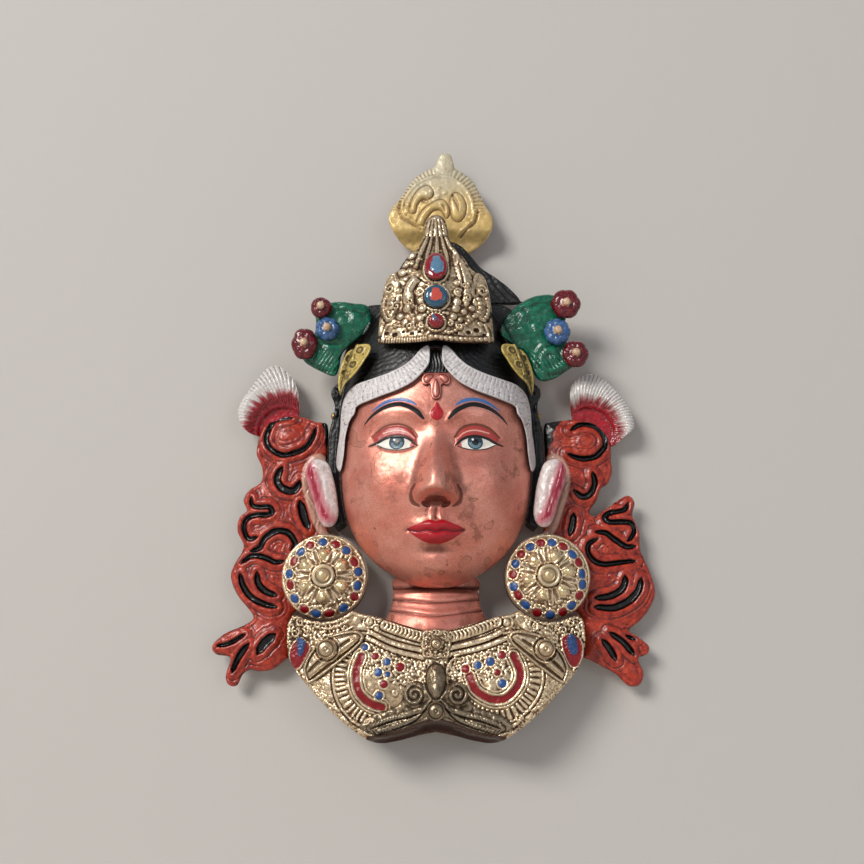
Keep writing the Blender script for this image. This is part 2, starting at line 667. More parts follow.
def gilt(name, tone, layers=(), dirt=1.0, stains=()):
    """Worn gilding; layers are (painted area, colour), stains are (area, tint, strength)."""
    g = Graph(name)

    def toned(red, green, blue):
        return rgb(red * tone, green * tone, blue * tone)

    colour, rough, metal, height = metal_state(
        g, toned(242, 222, 190), toned(190, 160, 121), toned(66, 42, 28), dirt, 0.28, 0.78, grain=1.6)
    # Worn leaf: fine bright and dull grains, with browner patches where the copper shows through.
    colour = g.shade(colour, g.blend(g.step(g.noise(0.8, 3, 0.75), 0.3, 0.7), 0.66, 1.2))
    patch = g.step(g.noise(7, 5, 0.65), 0.5, 0.66)
    colour = g.tint(colour, patch, 0.36, toned(140, 102, 72))
    # The turned-back walls are darker and browner than the worked face.
    edge = g.step(g.attribute("wall"), 0.1, 0.5)
    colour = g.tint(colour, edge, 0.9, rgb(58, 32, 24))
    for key, tint, strength in stains:
        mask = g.step(g.plus(g.attribute(key), g.sway(1.0, 1.5, 3)), -0.2, 0.5)
        colour = g.tint(colour, mask, strength, tint)
    state = (colour, g.blend(edge, rough, 0.5), metal, height)
    for key, tint in layers:
        state = g.coat(state, key, shaded(g, tint), 0.32, wobble=0.3, level=1.5)
    return g.finish(state, relief=0.05)


def shaded(g, colour, size=1.4, low=0.66, high=1.16):
    """A paint with brushed lighter and darker places."""
    return g.shade(colour, g.blend(g.noise(size, 3, 0.6), low, high))


def copper(name, layers=(), tarnish=1.0, pink=0.0):
    """Lacquered copper with tarnish; layers are (painted area, colour, raggedness of its edge)."""
    g = Graph(name)
    base = g.mix(g.step(g.noise(16, 4, 0.55), 0.3, 0.7), rgb(214, 130, 112), rgb(234, 162, 144))
    if pink:
        base = g.mix(pink, base, rgb(216, 128, 114))
    fine = g.shade(base, g.blend(g.step(g.noise(0.7, 3, 0.8), 0.3, 0.7), 0.8, 1.1))
    patch = g.step(g.noise(11, 6, 0.62), 0.54, 0.66)
    colour = g.tint(fine, patch, 0.5 * tarnish, rgb(112, 66, 50))
    # Old drops have dried with thin dark rims.
    drops = g.noise(9, 1.5, 0.4)
    rim = g.times(g.step(drops, 0.645, 0.655), g.step(drops, 0.672, 0.662))
    colour = g.tint(colour, g.step(drops, 0.64, 0.66), 0.22 * tarnish, rgb(150, 98, 66))
    colour = g.tint(colour, rim, 0.4 * tarnish, rgb(96, 54, 42))
    pit = g.step(g.plus(g.attribute("cavity"), g.times(g.attribute("hollow"), 0.3)), 0.06, 0.4)
    colour = g.tint(colour, pit, 0.75, rgb(70, 28, 22))
    rough = g.blend(patch, g.blend(g.noise(0.8, 3, 0.7), 0.32, 0.46), 0.54)
    state = (colour, rough, g.blend(patch, 0.72, 0.55), g.times(g.noise(0.6, 3, 0.7), 1.1))
    for key, tint, wobble in layers:
        state = g.coat(state, key, shaded(g, tint, 1.6, 0.85, 1.12), 0.3, wobble, level=0.8, soft=0.09)
    return g.finish(state, relief=0.055)


def enamel(name, colours, layers=(), roughness=0.3, size=2.5, specks=0.0, gloss=0.25, cavity=None,
           relief=0.05, walls=None, speck_tint=(226, 190, 168)):
    """Brushed oil paint: two mixed colours, darker in its recesses, with optional pale specks. layers are
    (painted area, colour) or (painted area, colour, softness of its edge)."""
    g = Graph(name)
    colour = g.mix(g.step(g.noise(size, 4, 0.6), 0.3, 0.7), colours[0], colours[1])
    colour = g.shade(colour, g.blend(g.step(g.noise(0.9, 3, 0.7), 0.3, 0.7), 0.8, 1.1))
    if specks:
        worn = g.plus(g.noise(0.8, 3, 0.6), g.times(g.noise(9, 3), 0.3))
        colour = g.tint(colour, g.step(worn, 0.79, 0.85), specks, rgb(*speck_tint))
    pit = g.step(g.attribute("cavity"), 0.04, 0.3)
    colour = g.tint(colour, pit, 0.8, cavity or g.shade(colours[0], 0.35))
    edge = g.step(g.attribute("wall"), 0.25, 0.7)
    colour = g.tint(colour, edge, 0.7, walls or g.shade(colours[0], 0.4))
    bristles = g.times(g.noise(0.35, 2, 0.5, (1, 1, 0.2)), 0.6)
    state = (colour, g.blend(g.noise(1.2, 2), roughness - 0.06, roughness + 0.12), 0.0,
             g.plus(g.noise(0.7, 3, 0.6), bristles))
    for key, tint, *soft in layers:
        state = g.coat(state, key, shaded(g, tint), 0.28, 0.3, 0.8, *soft)
    return g.finish(state, relief=relief, coat=gloss, coat_rough=0.1)


def brass():
    """Dull brass for the fittings on the back."""
    g = Graph("aged_brass")
    return g.finish(metal_state(g, rgb(214, 178, 112), rgb(168, 130, 74), rgb(84, 60, 34), 0.7, 0.38, 0.9),
                    relief=0.03)


# ---------------------------------------------------------------- turned pieces

def turned(name, slot, material, profile, place_at, fields, axis=(0, -1, 0), oval=1.0, steps=48):
    """A turned solid. profile is (radius, height) in millimetres from one end to the other, both on the
    axis; place_at is (x, depth, z) of height 0; oval stretches it upwards. fields are the vertex numbers
    that its material reads, as (name, function of angle, radius and height)."""
    axis = np.array(axis, float)
    axis /= np.linalg.norm(axis)
    aside = np.cross((0.0, 0.0, 1.0), axis) if abs(axis[2]) < 0.9 else np.cross((1.0, 0.0, 0.0), axis)
    aside /= np.linalg.norm(aside)
    up = np.cross(axis, aside)
    angles = 2 * math.pi * np.arange(steps) / steps
    centre = np.array([place_at[0], -place_at[1], place_at[2]])
    co, values, heights = [], [], []
    for r, h in profile[1:-1]:
        co.append(centre + (r * np.cos(angles))[:, None] * aside + (oval * r * np.sin(angles))[:, None] * up
                  + h * axis)
        values.append(np.full(steps, r))
        heights.append(np.full(steps, h))
    co.append(np.stack([centre + profile[0][1] * axis, centre + profile[-1][1] * axis]))
    values.append(np.zeros(2))
    heights.append(np.array([profile[0][1], profile[-1][1]]))
    rings = len(profile) - 2
    faces = []
    first, last = rings * steps, rings * steps + 1
    for k in range(steps):
        j = (k + 1) % steps
        faces.append((first, j, k))
        faces.append((last, (rings - 1) * steps + k, (rings - 1) * steps + j))
        faces += [(q * steps + k, q * steps + j, (q + 1) * steps + j, (q + 1) * steps + k)
                  for q in range(rings - 1)]
    mesh = bpy.data.meshes.new(name)
    mesh.from_pydata((np.concatenate(co) * MM).tolist(), [], faces)
    mesh.shade_smooth()
    mesh.set_sharp_from_angle(angle=math.radians(50))
    radius, height = np.concatenate(values), np.concatenate(heights)
    angle = np.concatenate([np.tile(angles, rings), [0, 0]])
    set_values(mesh, "radius", [radius])
    for key, field in fields:
        set_values(mesh, key, [field(angle, radius, height)])
    place(name, mesh, slot, material)


def plain_fields(*keys):
    """Fields that are 0 all over; a turned piece has no bare back and no relief to darken."""
    return [(key, lambda a, r, h: 0 * r) for key in keys or ("bare", "wall", "cavity", "hollow")]


def dome(radius, low, high, count=8):
    """Profile of a round cap from its rim up to its top."""
    a = np.linspace(0, math.pi / 2, count + 1)
    return [(radius * math.cos(t), low + (high - low) * math.sin(t)) for t in a[:-1]] + [(0.0, high)]


def curve_profile(*points):
    """A profile smoothed through its points."""
    return [tuple(p) for p in spline(points, 0.25)]


# ---------------------------------------------------------------- face and neck

def face_side(step):
    """The right edge of the face, from the hairline's centre round the temple and jaw to the chin."""
    return spline([(0, 30.5), (3.5, 29), (8, 22.5), (14, 17.5), (20, 14.5), (28, 12.2), (36, 11.4), (41.5, 9),
                   (43.6, 3), (44, -12), (44, -24), (43, -35), (41, -45), (36.8, -55), (31, -62.5),
                   (24, -68.5), (16, -73.4), (8, -76.3), (0, -77.2)], step)


# The right half of the builder's own face; the left half mirrors it.
EYE_X, EYE_Z = 17.6, -13.7
EYE = [(9.2, -15.3), (12.6, -12.4), (17.4, -11.2), (22.4, -11.9), (27.0, -14.0), (22.6, -16.3), (17.4, -17.2),
       (12.6, -16.7)]
UPPER_LID = [(8.6, -15.7), (12.4, -12.3), (17.4, -11.0), (22.6, -11.6), (27.2, -13.7), (30.4, -14.6)]
LOWER_LID = [(9.6, -15.9), (13, -17.0), (17.4, -17.5), (22.6, -16.6), (26.6, -14.5)]
CREASE = [(8.6, -11.6), (12, -7.4), (17.6, -5.6), (23.6, -6.6), (29, -10.6)]
BROW = [(5.6, -3.6), (9.5, 0.4), (16, 3.4), (23, 2.6), (29, -0.6), (33, -4.6)]
MOUTH = [(-12.2, -52.8), (-8, -53.7), (-3.4, -53.3), (0, -54.1), (3.4, -53.3), (8, -53.7), (12.2, -52.8)]
LIPS = [(-12.2, -52.7), (-7.4, -50.4), (-2.7, -48.9), (0, -49.8), (2.7, -48.9), (7.4, -50.4), (12.2, -52.7),
        (8, -56.6), (3.6, -58.6), (0, -59.0), (-3.6, -58.6), (-8, -56.6)]


def build_face():
    r = Relief(both_halves(face_side(1.0)), face, 0.44)
    for sign in (1, -1):
        def at(points):
            return np.array(points) * (sign, 1)
        eye = spline(at(EYE), 0.4, closed=True)
        lid = spline(at(UPPER_LID), 0.5)
        crease = spline(at(CREASE), 0.5)
        low_lid = spline(at(LOWER_LID), 0.5)
        fold = np.concatenate([crease, lid[:-6][::-1]])
        # The lid swells over the eyeball, and the eye is set below its rims.
        r.area(fold, 0.75, 1.4)
        r.stroke(crease, 1.1, -0.55, taper=0.5)
        r.stroke(lid, 1.0, 0.45, taper=0.5)
        r.stroke(low_lid, 1.2, 0.4, taper=0.5)
        opening = r.area(eye, -0.55, 0.5)
        r.boss(sign * EYE_X, -13.9, 4.0, 0.35, power=1)
        r.stroke(spline(at([(5.2, -4.4), (9.5, -0.6), (16, 2.2), (23, 1.4), (32, -4.4)]), 0.6), 3.2, 0.5,
                 power=1.5, taper=0.5)
        r.stroke(spline(at([(9.4, -33.6), (11.0, -37.4), (10.2, -41.2), (7.2, -43.0)]), 0.5), 1.3, -0.55,
                 taper=0.7)
        r.boss(sign * 4.4, -42.1, 2.3, -1.5, rz=1.2, turn=sign * 14, power=0.8)
        r.stroke(spline(at([(1.9, -43.6), (2.3, -48.4)]), 0.5), 1.3, 0.35, taper=0.6)
        r.boss(sign * 12.6, -53.0, 1.5, -0.55, power=1)
        r.paint("white", opening + 0.1)
        # The eyes' painted parts stay inside the opening.
        dx, dz = r.x - sign * EYE_X, r.z - EYE_Z
        reach = np.hypot(dx, dz)
        r.paint("iris", np.minimum(3.5 - reach, opening))
        r.paint("iris_light", np.minimum(np.minimum(2.9 - reach, -0.2 - dz), opening))
        r.paint("pupil", np.minimum(1.6 - reach, opening))
        r.paint("glint", 0.55 - np.hypot(dx + 1.1, dz - 1.1))
        r.paint("corner", np.minimum(2.0 - np.hypot(r.x - sign * 9.6, r.z + 15.4), opening))
        d, along, _ = r.trace(lid, 3)
        t = along / length_of(lid)
        r.paint("black", 0.62 * np.sqrt(np.clip(1.25 - np.abs(2 * t - 1) ** 2.5, 0, 1)) - d)
        r.paint("liner", 0.28 - r.trace(low_lid, 3)[0])
        r.paint("lid", np.minimum(r.inside(fold, 6.0) - 0.35, 3))
        r.paint("pale", 0.32 - r.trace(spline(at([(9.6, -12.4), (13, -9.4), (18, -8.2), (24, -9.2)])), 3)[0])
        brow = spline(at(BROW), 0.5)
        d, along, _ = r.trace(brow, 4)
        t = along / length_of(brow)
        r.paint("black", 1.15 * np.sqrt(np.clip(np.minimum(t * 6 + 0.2, (1 - t) * 2.2), 0, 1)) - d)
        above = spline(at([(8.4, 2.6), (12, 4.9), (17, 6.1), (23, 5.1), (29.5, 1.4)]), 0.5)
        d, along, _ = r.trace(above, 3)
        t = along / length_of(above)
        r.paint("blue", 0.85 * np.sqrt(np.clip(np.minimum(t * 5, (1 - t) * 3), 0, 1)) - d)
    lips = spline(LIPS, 0.5, closed=True)
    mouth = spline(MOUTH, 0.5)
    r.area(lips, 0.75, 1.2, paint="lips", grow=0.1)
    r.stroke(mouth, 1.0, -0.95, power=0.8, taper=0.35)
    r.paint("seam", 0.3 - r.trace(mouth, 3)[0])
    r.stroke([(0, -43.6), (0, -48.4)], 1.3, -0.3, taper=0.6)
    drop = spline([(0.4, 4.3), (1.6, 2.2), (3.3, -0.6), (2.7, -3.2), (0.4, -4.4), (-1.9, -3.2), (-2.5, -0.6),
                   (-0.8, 2.2)], 0.4, closed=True)
    mark = r.area(drop, 0.75, 0.7, paint="lips")
    r.h -= 0.16 * (mark > 0.4) * beat(r.z, 0.95)
    # Black hair fills the parting between the two white bands.
    parting = np.minimum(r.z - 18.4, 7.0 - np.abs(r.x))
    combed = 0.55 + 0.3 * np.cos(2 * np.pi * r.x / 1.5 + 2 * np.sin(r.z / 2))
    r.h += smooth_step(parting, -0.3, 0.5) * combed
    r.paint("parting", parting)
    r.grain(3.2, 0.12, 3)
    r.grain(1.3, 0.08, 4)

    def rim(x, z):
        return np.where((np.abs(x) < 23) & (z < -60), np.nan, FACE_RIM)

    layers = [("lid", rgb(168, 62, 56), 0.5), ("pale", rgb(228, 164, 150), 0.2),
              ("white", rgb(232, 228, 218), 0.12), ("corner", rgb(206, 112, 104), 0.2),
              ("iris", rgb(44, 62, 74), 0.1), ("iris_light", rgb(104, 132, 146), 0.3),
              ("pupil", rgb(10, 12, 14), 0.1), ("glint", rgb(240, 240, 240), 0.05),
              ("lips", rgb(172, 20, 34), 0.16), ("seam", rgb(88, 8, 18), 0.1),
              ("black", rgb(20, 18, 18), 0.14), ("liner", rgb(30, 22, 22), 0.12),
              ("blue", rgb(66, 110, 168), 0.2), ("parting", rgb(14, 13, 13), 0.3)]
    r.build("face_shell", "copper", copper("copper_skin", layers), rim=rim, roll=1.2)


def build_neck():
    half = [(0, -73), (10, -72.6), (17, -71), (20.5, -73), (20, -78), (20.4, -84), (22.6, -89.5), (25, -94),
            (23.4, -98), (12, -100.2), (5, -99.6), (0, -99.2)]
    r = Relief(both_halves(spline(half, 0.8)), neck, 0.5)
    for z, sag in ((-83.6, 2.2), (-89.8, 3.4)):
        line = spline([(-25, z + sag), (-14, z + 0.5 * sag), (0, z), (14, z + 0.5 * sag), (25, z + sag)])
        r.stroke(line, 0.8, -0.5)
        r.stroke(line + (0, 1.5), 1.6, 0.3, power=1.2)
    r.grain(2.4, 0.14, 9)
    r.build("neck_shell", "copper", copper("copper_neck", pink=0.35), roll=0.6)


# ---------------------------------------------------------------- hair

def hair_outer(step):
    """The right outer edge of the hair, from the top centre down to the ear."""
    return spline([(0, 61), (14, 61), (27.3, 60.6), (34, 59.5), (38.6, 55.5), (40.4, 49), (42, 42),
                   (44.3, 35), (46, 27), (47, 21.5), (49.6, 18.2), (50, 14.8), (48.6, 11.5), (48.4, 6.5),
                   (49.6, 2), (50.8, -4), (51, -14), (50.8, -26), (50, -38), (48.6, -46),
                   (46.4, -49)], step)


def strands(r, field, period, depth, sway):
    """Combed grooves along lines of equal field."""
    phase = 2 * np.pi * field / period + sway
    r.h += depth * (np.abs(np.cos(phase / 2)) ** 0.7 - 0.6)


def build_hair():
    beside = inset(anticlockwise(both_halves(face_side(1.0))), -0.5)
    seam = [q for q in beside if q[0] >= -1e-6 and q[1] > -45.5]
    seam.sort(key=lambda q: math.atan2(q[1] + 20, q[0] + 0.001))
    seam[-1] = np.array((0.0, seam[-1][1]))
    seam = np.array(seam)
    right = np.concatenate([hair_outer(0.9), seam])
    outline = np.concatenate([right, flip(right)[::-1][1:-1]])
    r = Relief(outline, hair, 0.5)
    hairline = np.concatenate([seam, flip(seam)[::-1][1:]])
    d, along, _ = r.trace(hairline, 34)
    strands(r, d, 2.3, 0.26, 2.2 * np.sin(along / 6) + 5 * speckle(r.x, r.z, 4, 2))
    # Small curls along the outer edge.
    for x, z, radius, start, way in ((49.2, 8.5, 2.4, 40, 1), (-48.6, 15.4, 2.6, 140, -1),
                                     (48.4, 17.6, 1.8, 90, 1), (-48.6, 6.2, 2.0, 200, 1),
                                     (47.8, -0.5, 1.7, 0, -1), (-41.5, 45.5, 2.0, 100, 1),
                                     (40.6, 51, 2.0, 60, -1)):
        r.boss(x, z, radius + 0.8, 0.8, power=0.7)
        r.curl(x, z, radius, way * 1.4, start, 0.7, 0.6)
    r.grain(0.9, 0.25, 6)
    to_seam = np.where(d < 3, d, 3.0)

    def rim(x, z):
        return np.where(r.sample(to_seam, x, z) < 1.3, np.nan, 0.0)

    black = enamel("black_hair", (rgb(3, 3, 3), rgb(7, 6, 6)), roughness=0.4, gloss=0.06,
                   cavity=rgb(2, 2, 2), walls=rgb(8, 7, 7), relief=0.12)
    r.build("hair_cap", "black_paint", black, rim=rim, roll=0.9)
    # The knot leans to the right, where it runs out into a low shoulder beside the crown.
    full = [(0, 93.0), (7, 93.6), (12.8, 91.0), (17.6, 85.4), (21.8, 80.2), (27.4, 76.2), (33.0, 72.0),
            (38.0, 67.2), (41.0, 63.2), (39.0, 61.7)]
    slim = [(0, 93.0), (-6.4, 90.8), (-12.5, 87), (-16.5, 82), (-19.5, 76), (-22.5, 70), (-24.5, 65),
            (-25.5, 61.8)]
    outline = spline(full + [(0, 61.6)] + slim[:0:-1], 0.8, closed=True)
    r = Relief(outline, topknot, 0.5)
    strands(r, np.arctan2(r.x, 112 - r.z), 0.06, 0.5, 1.2 * np.sin(r.z / 2.6))
    r.grain(0.9, 0.25, 7)
    r.build("topknot", "black_paint", black, rim=level(9.2))


def build_hairband(sign, label):
    """A white band of engraved bricks along the hairline, with a pointed drop beside the face."""
    upper = [(3.2, 31.2), (6.4, 30.4), (10.6, 25.4), (15.3, 21.6), (22.2, 18.7), (30.1, 17), (37.6, 15.9),
             (42.6, 12.7), (44.6, 6), (44.9, -4), (46.2, -13), (46.6, -20)]
    lower = [(44.2, -23.6), (42.6, -17), (41.8, -8), (39.9, -1.5), (37.4, 1.8), (36.3, 5), (30.4, 6.6),
             (24.4, 8.1), (17.5, 10.1), (10.6, 13.6), (5.6, 18.7), (3.0, 23.4)]
    r = Relief(side(spline(upper + lower, 0.7, closed=True), sign), laid_on(hair, 1.35), 0.36)
    middle = spline([(3.4, 26.6), (7.6, 22.8), (12.4, 18.0), (19, 14.8), (26.5, 13.0), (33.5, 11.8),
                     (38.2, 10), (40.8, 5.5), (42.2, -1), (43.4, -8), (44.6, -16), (45.2, -21.5)],
                     0.4) * (sign, 1)
    d, along, hand = r.trace(middle, 7)
    hand = hand * sign
    r.h -= 0.3 * crest(d, 0.45)
    across = smooth_step(d, 0.2, 0.5) * smooth_step(r.edge, 0.5, 0.9)
    for which, period, shift in ((1, 1.9, 0.0), (-1, 2.5, 0.7)):
        band = across * (hand * which > 0)
        bend = 0.35 * (speckle(r.x, r.z, 3, 12) - 0.5)
        joint = np.abs(((along + shift + bend) / period) % 1 - 0.5) * period
        r.h -= 0.34 * band * crest(joint, 0.4)
        scallop = 1.9 + 0.7 * np.abs(np.sin(np.pi * (along + shift) / period))
        r.h -= 0.22 * band * (which < 0) * crest(d, 0.4, at=scallop)
    r.h += 0.2 * crest(r.edge, 0.5, at=0.55)
    lobe = spline([(36.7, 5.4), (38.4, 7.6), (42.0, 7.2), (43.8, 3.6), (42.6, -1.6), (40.4, -3.0),
                   (38.0, -0.2)],
                  0.4, closed=True) * (sign, 1)
    r.area(lobe, 0.55, 0.8)
    r.stroke(lobe, 0.4, -0.35, closed=True)
    r.stroke(spline([(30.5, 16.4), (33.2, 12.6), (33.4, 7.2)]) * (sign, 1), 0.4, -0.35)
    r.grain(1.2, 0.1, 8)
    white = enamel("white_band", (rgb(196, 190, 190), rgb(220, 215, 214)), roughness=0.4, gloss=0.1,
                   cavity=rgb(104, 92, 90), walls=rgb(112, 100, 98), relief=0.04)
    r.build(f"hairband_{label}", "white_paint", white, thickness=1.1, roll=0.5, soften=10)


# ---------------------------------------------------------------- crown

def build_crown(material):
    half = [(0, 99.3), (2.4, 98.7), (4.4, 96.4), (5.3, 92.5), (6.0, 87.5), (7.4, 83), (9.6, 78.5),
            (13.2, 74.6), (15.4, 70), (18.6, 67.4), (21.6, 66.2), (23.8, 61.5), (25.4, 53), (26.2, 45),
            (26.6, 38.5), (26.2, 34), (20, 32.6), (12, 31.6), (5, 31.8), (0, 32.2)]
    r = Relief(both_halves(spline(half, 0.8)), crown, 0.34)
    # The tip: a fluted bullet on a cone of long folds.
    r.area(spline([(-5.4, 87.8), (-4.9, 92.4), (-3.2, 96.8), (0, 98.7), (3.2, 96.8), (4.9, 92.4), (5.4, 87.8),
                   (2.6, 86.6), (-2.6, 86.6)], 0.5, closed=True), 2.4, 2.6)
    for x in (-3.6, -1.4, 1.1, 3.4):
        r.stroke([(x * 0.6, 96.4), (x, 87.4)], 0.6, -0.6, taper=0.5)
    for x0, x1, z1, width, rise in ((-3.9, -8.4, 73, 1.3, 1.5), (-2.0, -4.4, 73.5, 1.0, 1.3),
                                    (0.5, 0.4, 74, 1.1, 1.0), (2.6, 5.2, 73.5, 1.0, 1.3),
                                    (4.4, 9.6, 76, 1.2, 1.5)):
        r.stroke(spline([(x0, 86.6), (0.6 * x0 + 0.4 * x1, 81), (x1, z1), (x1 * 1.06, z1 - 5)]), width, rise,
                 power=0.8, taper=0.6)
    r.grain(1.0, 0.35, 21, smooth_step(r.z, 70, 78) * smooth_step(-r.z, -88, -84))
    # A long smooth petal on the right, and the ruffled one on the left.
    r.area(spline([(7.4, 83), (10.3, 77.7), (14.4, 69.8), (17, 62.5), (17.9, 56.4), (15.6, 50.4),
                   (12.9, 49.4), (11.8, 56), (9.6, 63.9), (7.6, 73.8)], 0.6, closed=True), 1.9, 1.5)
    r.stroke(spline([(7.0, 84), (9.6, 74), (11.6, 66), (12.6, 58.5), (11.4, 52)]), 0.7, -0.9)
    for x, z, radius, rise in ((-11.7, 76.2, 2.9, 2.2), (-14.3, 71.2, 2.3, 1.7), (-11.2, 71.4, 1.7, 1.3),
                               (-15.6, 66.6, 2.1, 1.4), (-12.4, 66.9, 1.6, 1.2), (-13.9, 62.9, 1.4, 0.9),
                               (-9.2, 69.2, 1.4, 1.2), (-8.8, 77.2, 1.1, 1.0), (-7.2, 73.2, 1.0, 0.8)):
        r.boss(x, z, radius, rise, power=0.6)
    r.area(spline([(-7.3, 65.2), (-12.4, 62.6), (-15.2, 55.4), (-14.4, 47.4), (-11.6, 45.2), (-9.6, 49.6),
                   (-10.4, 56), (-8.4, 60.6)], 0.6, closed=True), 1.7, 1.2)
    r.stroke(spline([(-9.8, 63.8), (-5.4, 60.4), (-3.4, 58.9)]), 0.5, -0.8)
    r.stroke(spline([(-9.6, 49.8), (-9.2, 57.4), (-6.8, 61.4)]), 0.7, -0.7)
    r.boss(-7.6, 55.7, 2.5, 1.2, power=0.35)
    r.boss(-7.6, 55.7, 1.3, -0.7, power=0.6)
    r.boss(-7.8, 55.3, 0.6, 0.5, power=0.6)
    # The side lobes, each with a curled border round a pierced eye.
    for sign, eye_z in ((-1, 58.8), (1, 57.6)):
        lobe = spline([(19.4, 66.6), (22.2, 66), (24.4, 60.6), (25.6, 53), (24.4, 47), (21.6, 43.6),
                       (18.8, 47), (17.4, 54), (17.6, 61)], 0.6, closed=True) * (sign, 1)
        r.area(lobe, 1.3, 1.0)
        r.stroke(lobe[::2], 0.8, 0.6, power=0.6, closed=True)
        r.curl(sign * 21.4, eye_z, 2.7, -sign * 1.2, 90, 0.7, 0.9, hole=0.8)
        r.beads(spline([(sign * 23.6, 55), (sign * 24.4, 51), (sign * 23.8, 46.6), (sign * 22, 43.2)]), 1.9,
                0.95, 1.0)
        r.beads(spline([(sign * 19.2, 54.4), (sign * 20.6, 50.6), (sign * 19.8, 46)]), 2.1, 1.0, 0.9)
        r.stroke(spline([(sign * 22.6, 41.4), (sign * 24.2, 38), (sign * 24.6, 34)]), 0.8, 0.8)
    # Rings, beads and curls between the jewels and the lobes.
    for x, z, radius in ((10.4, 55.6, 2.3), (9.6, 60.4, 1.5), (-16.9, 57.2, 1.3)):
        r.boss(x, z, radius, 1.1, power=0.35)
        r.boss(x, z, radius * 0.68, -0.8, power=0.5)
        r.boss(x, z, radius * 0.42, 0.9, power=0.5)
    for x, z, radius, rise in ((-6.9, 51.2, 1.9, 1.5), (-6.3, 47.5, 2.1, 1.6), (-7.2, 43.2, 1.9, 1.2),
                               (-13.4, 47.8, 1.9, 1.3), (-16.4, 44.6, 1.7, 1.3), (-14.2, 41.6, 1.6, 1.0),
                               (9.6, 51, 2.1, 1.5), (9.1, 47.6, 2.0, 1.5), (12.8, 46.4, 1.5, 1.2),
                               (16.6, 48.6, 1.5, 1.3), (8.0, 43.6, 1.7, 1.3), (11.2, 42.4, 1.2, 1.0),
                               (-10.9, 44.6, 1.2, 1.1), (-10.4, 40.9, 1.3, 0.9), (14.9, 44.2, 1.1, 1.0),
                               (-18.6, 40.6, 1.3, 1.0), (18.4, 45.4, 1.2, 1.0), (-4.9, 44.2, 1.0, 0.8),
                               (5.2, 45.2, 1.0, 0.9), (-20.8, 45.8, 1.1, 0.8), (20.4, 41.6, 1.3, 0.9)):
        r.boss(x, z, radius, rise, power=0.55)
    for x, z, radius, way, start in ((-12.2, 51.2, 2.0, 1, 200), (13.4, 59.2, 1.7, -1, 40),
                                     (-18.2, 49.8, 1.8, 1, 90), (14.6, 53.2, 1.9, -1, 160),
                                     (-11.9, 39.6, 1.9, -1, 20), (10.9, 39.2, 1.8, 1, 160),
                                     (-6.4, 39.2, 1.5, 1, 90), (6.4, 40.4, 1.5, -1, 90)):
        r.curl(x, z, radius, way * 1.1, start, 0.55, 0.9, hole=0.45)
    for cz, radius, upright, row in ((67.1, 5.6, 7.6, 22), (52.4, 6.1, 6.1, 0), (40.6, 4.2, 4.2, 14)):
        a = np.linspace(0, 2 * math.pi, 60, endpoint=False)
        ring = np.stack([radius * np.cos(a), cz + upright * np.sin(a)], 1)
        r.stroke(ring, 0.75, 0.8, power=0.6, closed=True)
        if row:
            r.beads(ring, 1.45, 0.62, 0.45, closed=True)
    for z in (59.4, 45.9):
        for x in (-3.6, -1.8, 0, 1.8, 3.6):
            r.boss(x, z - 0.04 * x * x, 0.85, 0.9, power=0.5)
    # A dark pierced band above the lower rim, under a beaded swag.
    for x, z, radius, deep in ((-22.6, 37.6, 1.2, 1.2), (-18.8, 36.4, 1.5, 1.2), (-14.8, 37.0, 0.9, 0.8),
                               (-10.9, 35.8, 1.1, 0.9), (-7.4, 36.4, 0.8, 0.7), (9.4, 36.0, 0.9, 0.8),
                               (14.8, 36.8, 1.3, 1.2), (18.6, 38.4, 1.7, 1.4), (22.2, 36.8, 1.0, 1.0)):
        r.boss(x, z, radius, -deep, rz=radius * 0.85, power=0.8)
    r.beads(spline([(5.2, 35.4), (8.4, 36.9), (12.6, 39.9), (15.4, 42.3), (17.9, 45.3)]), 1.6, 0.8, 0.9)
    r.beads(spline([(-21.4, 39.6), (-16, 40.2), (-10.4, 38.6), (-5.4, 36.2)]), 1.9, 0.75, 0.8)
    bottom = spline([(-26, 33.6), (-20, 32.4), (-12, 31.5), (-5, 31.6), (0, 31.9), (5, 31.6), (12, 31.5),
                     (20, 32.4), (26, 33.6)])
    d, along, _ = r.trace(bottom, 5)
    r.h += 0.9 * crest(d, 1.6, at=1.5)
    r.h -= 0.75 * beat(along, 1.25) * crest(d, 1.7, at=1.5) * (r.x < -3)
    r.beads(spline([(-3.2, 33.6), (-1.4, 34.0), (2.4, 33.2), (6, 33.0), (12, 33.2), (18, 33.8), (24, 34.9)]),
            2.3, 1.1, 1.0)
    r.grain(2.6, 0.8, 22, smooth_step(-r.z, -78, -66))
    r.grain(1.1, 0.3, 23)
    r.grain(0.8, 0.16, 24)

    def rim(x, z):
        return np.where(z > 37, 33.0 - 6.0 * smooth_step(z, 55, 85), np.nan)

    r.build("crown", "gilding", material, rim=rim, roll=0.9, soften=14)


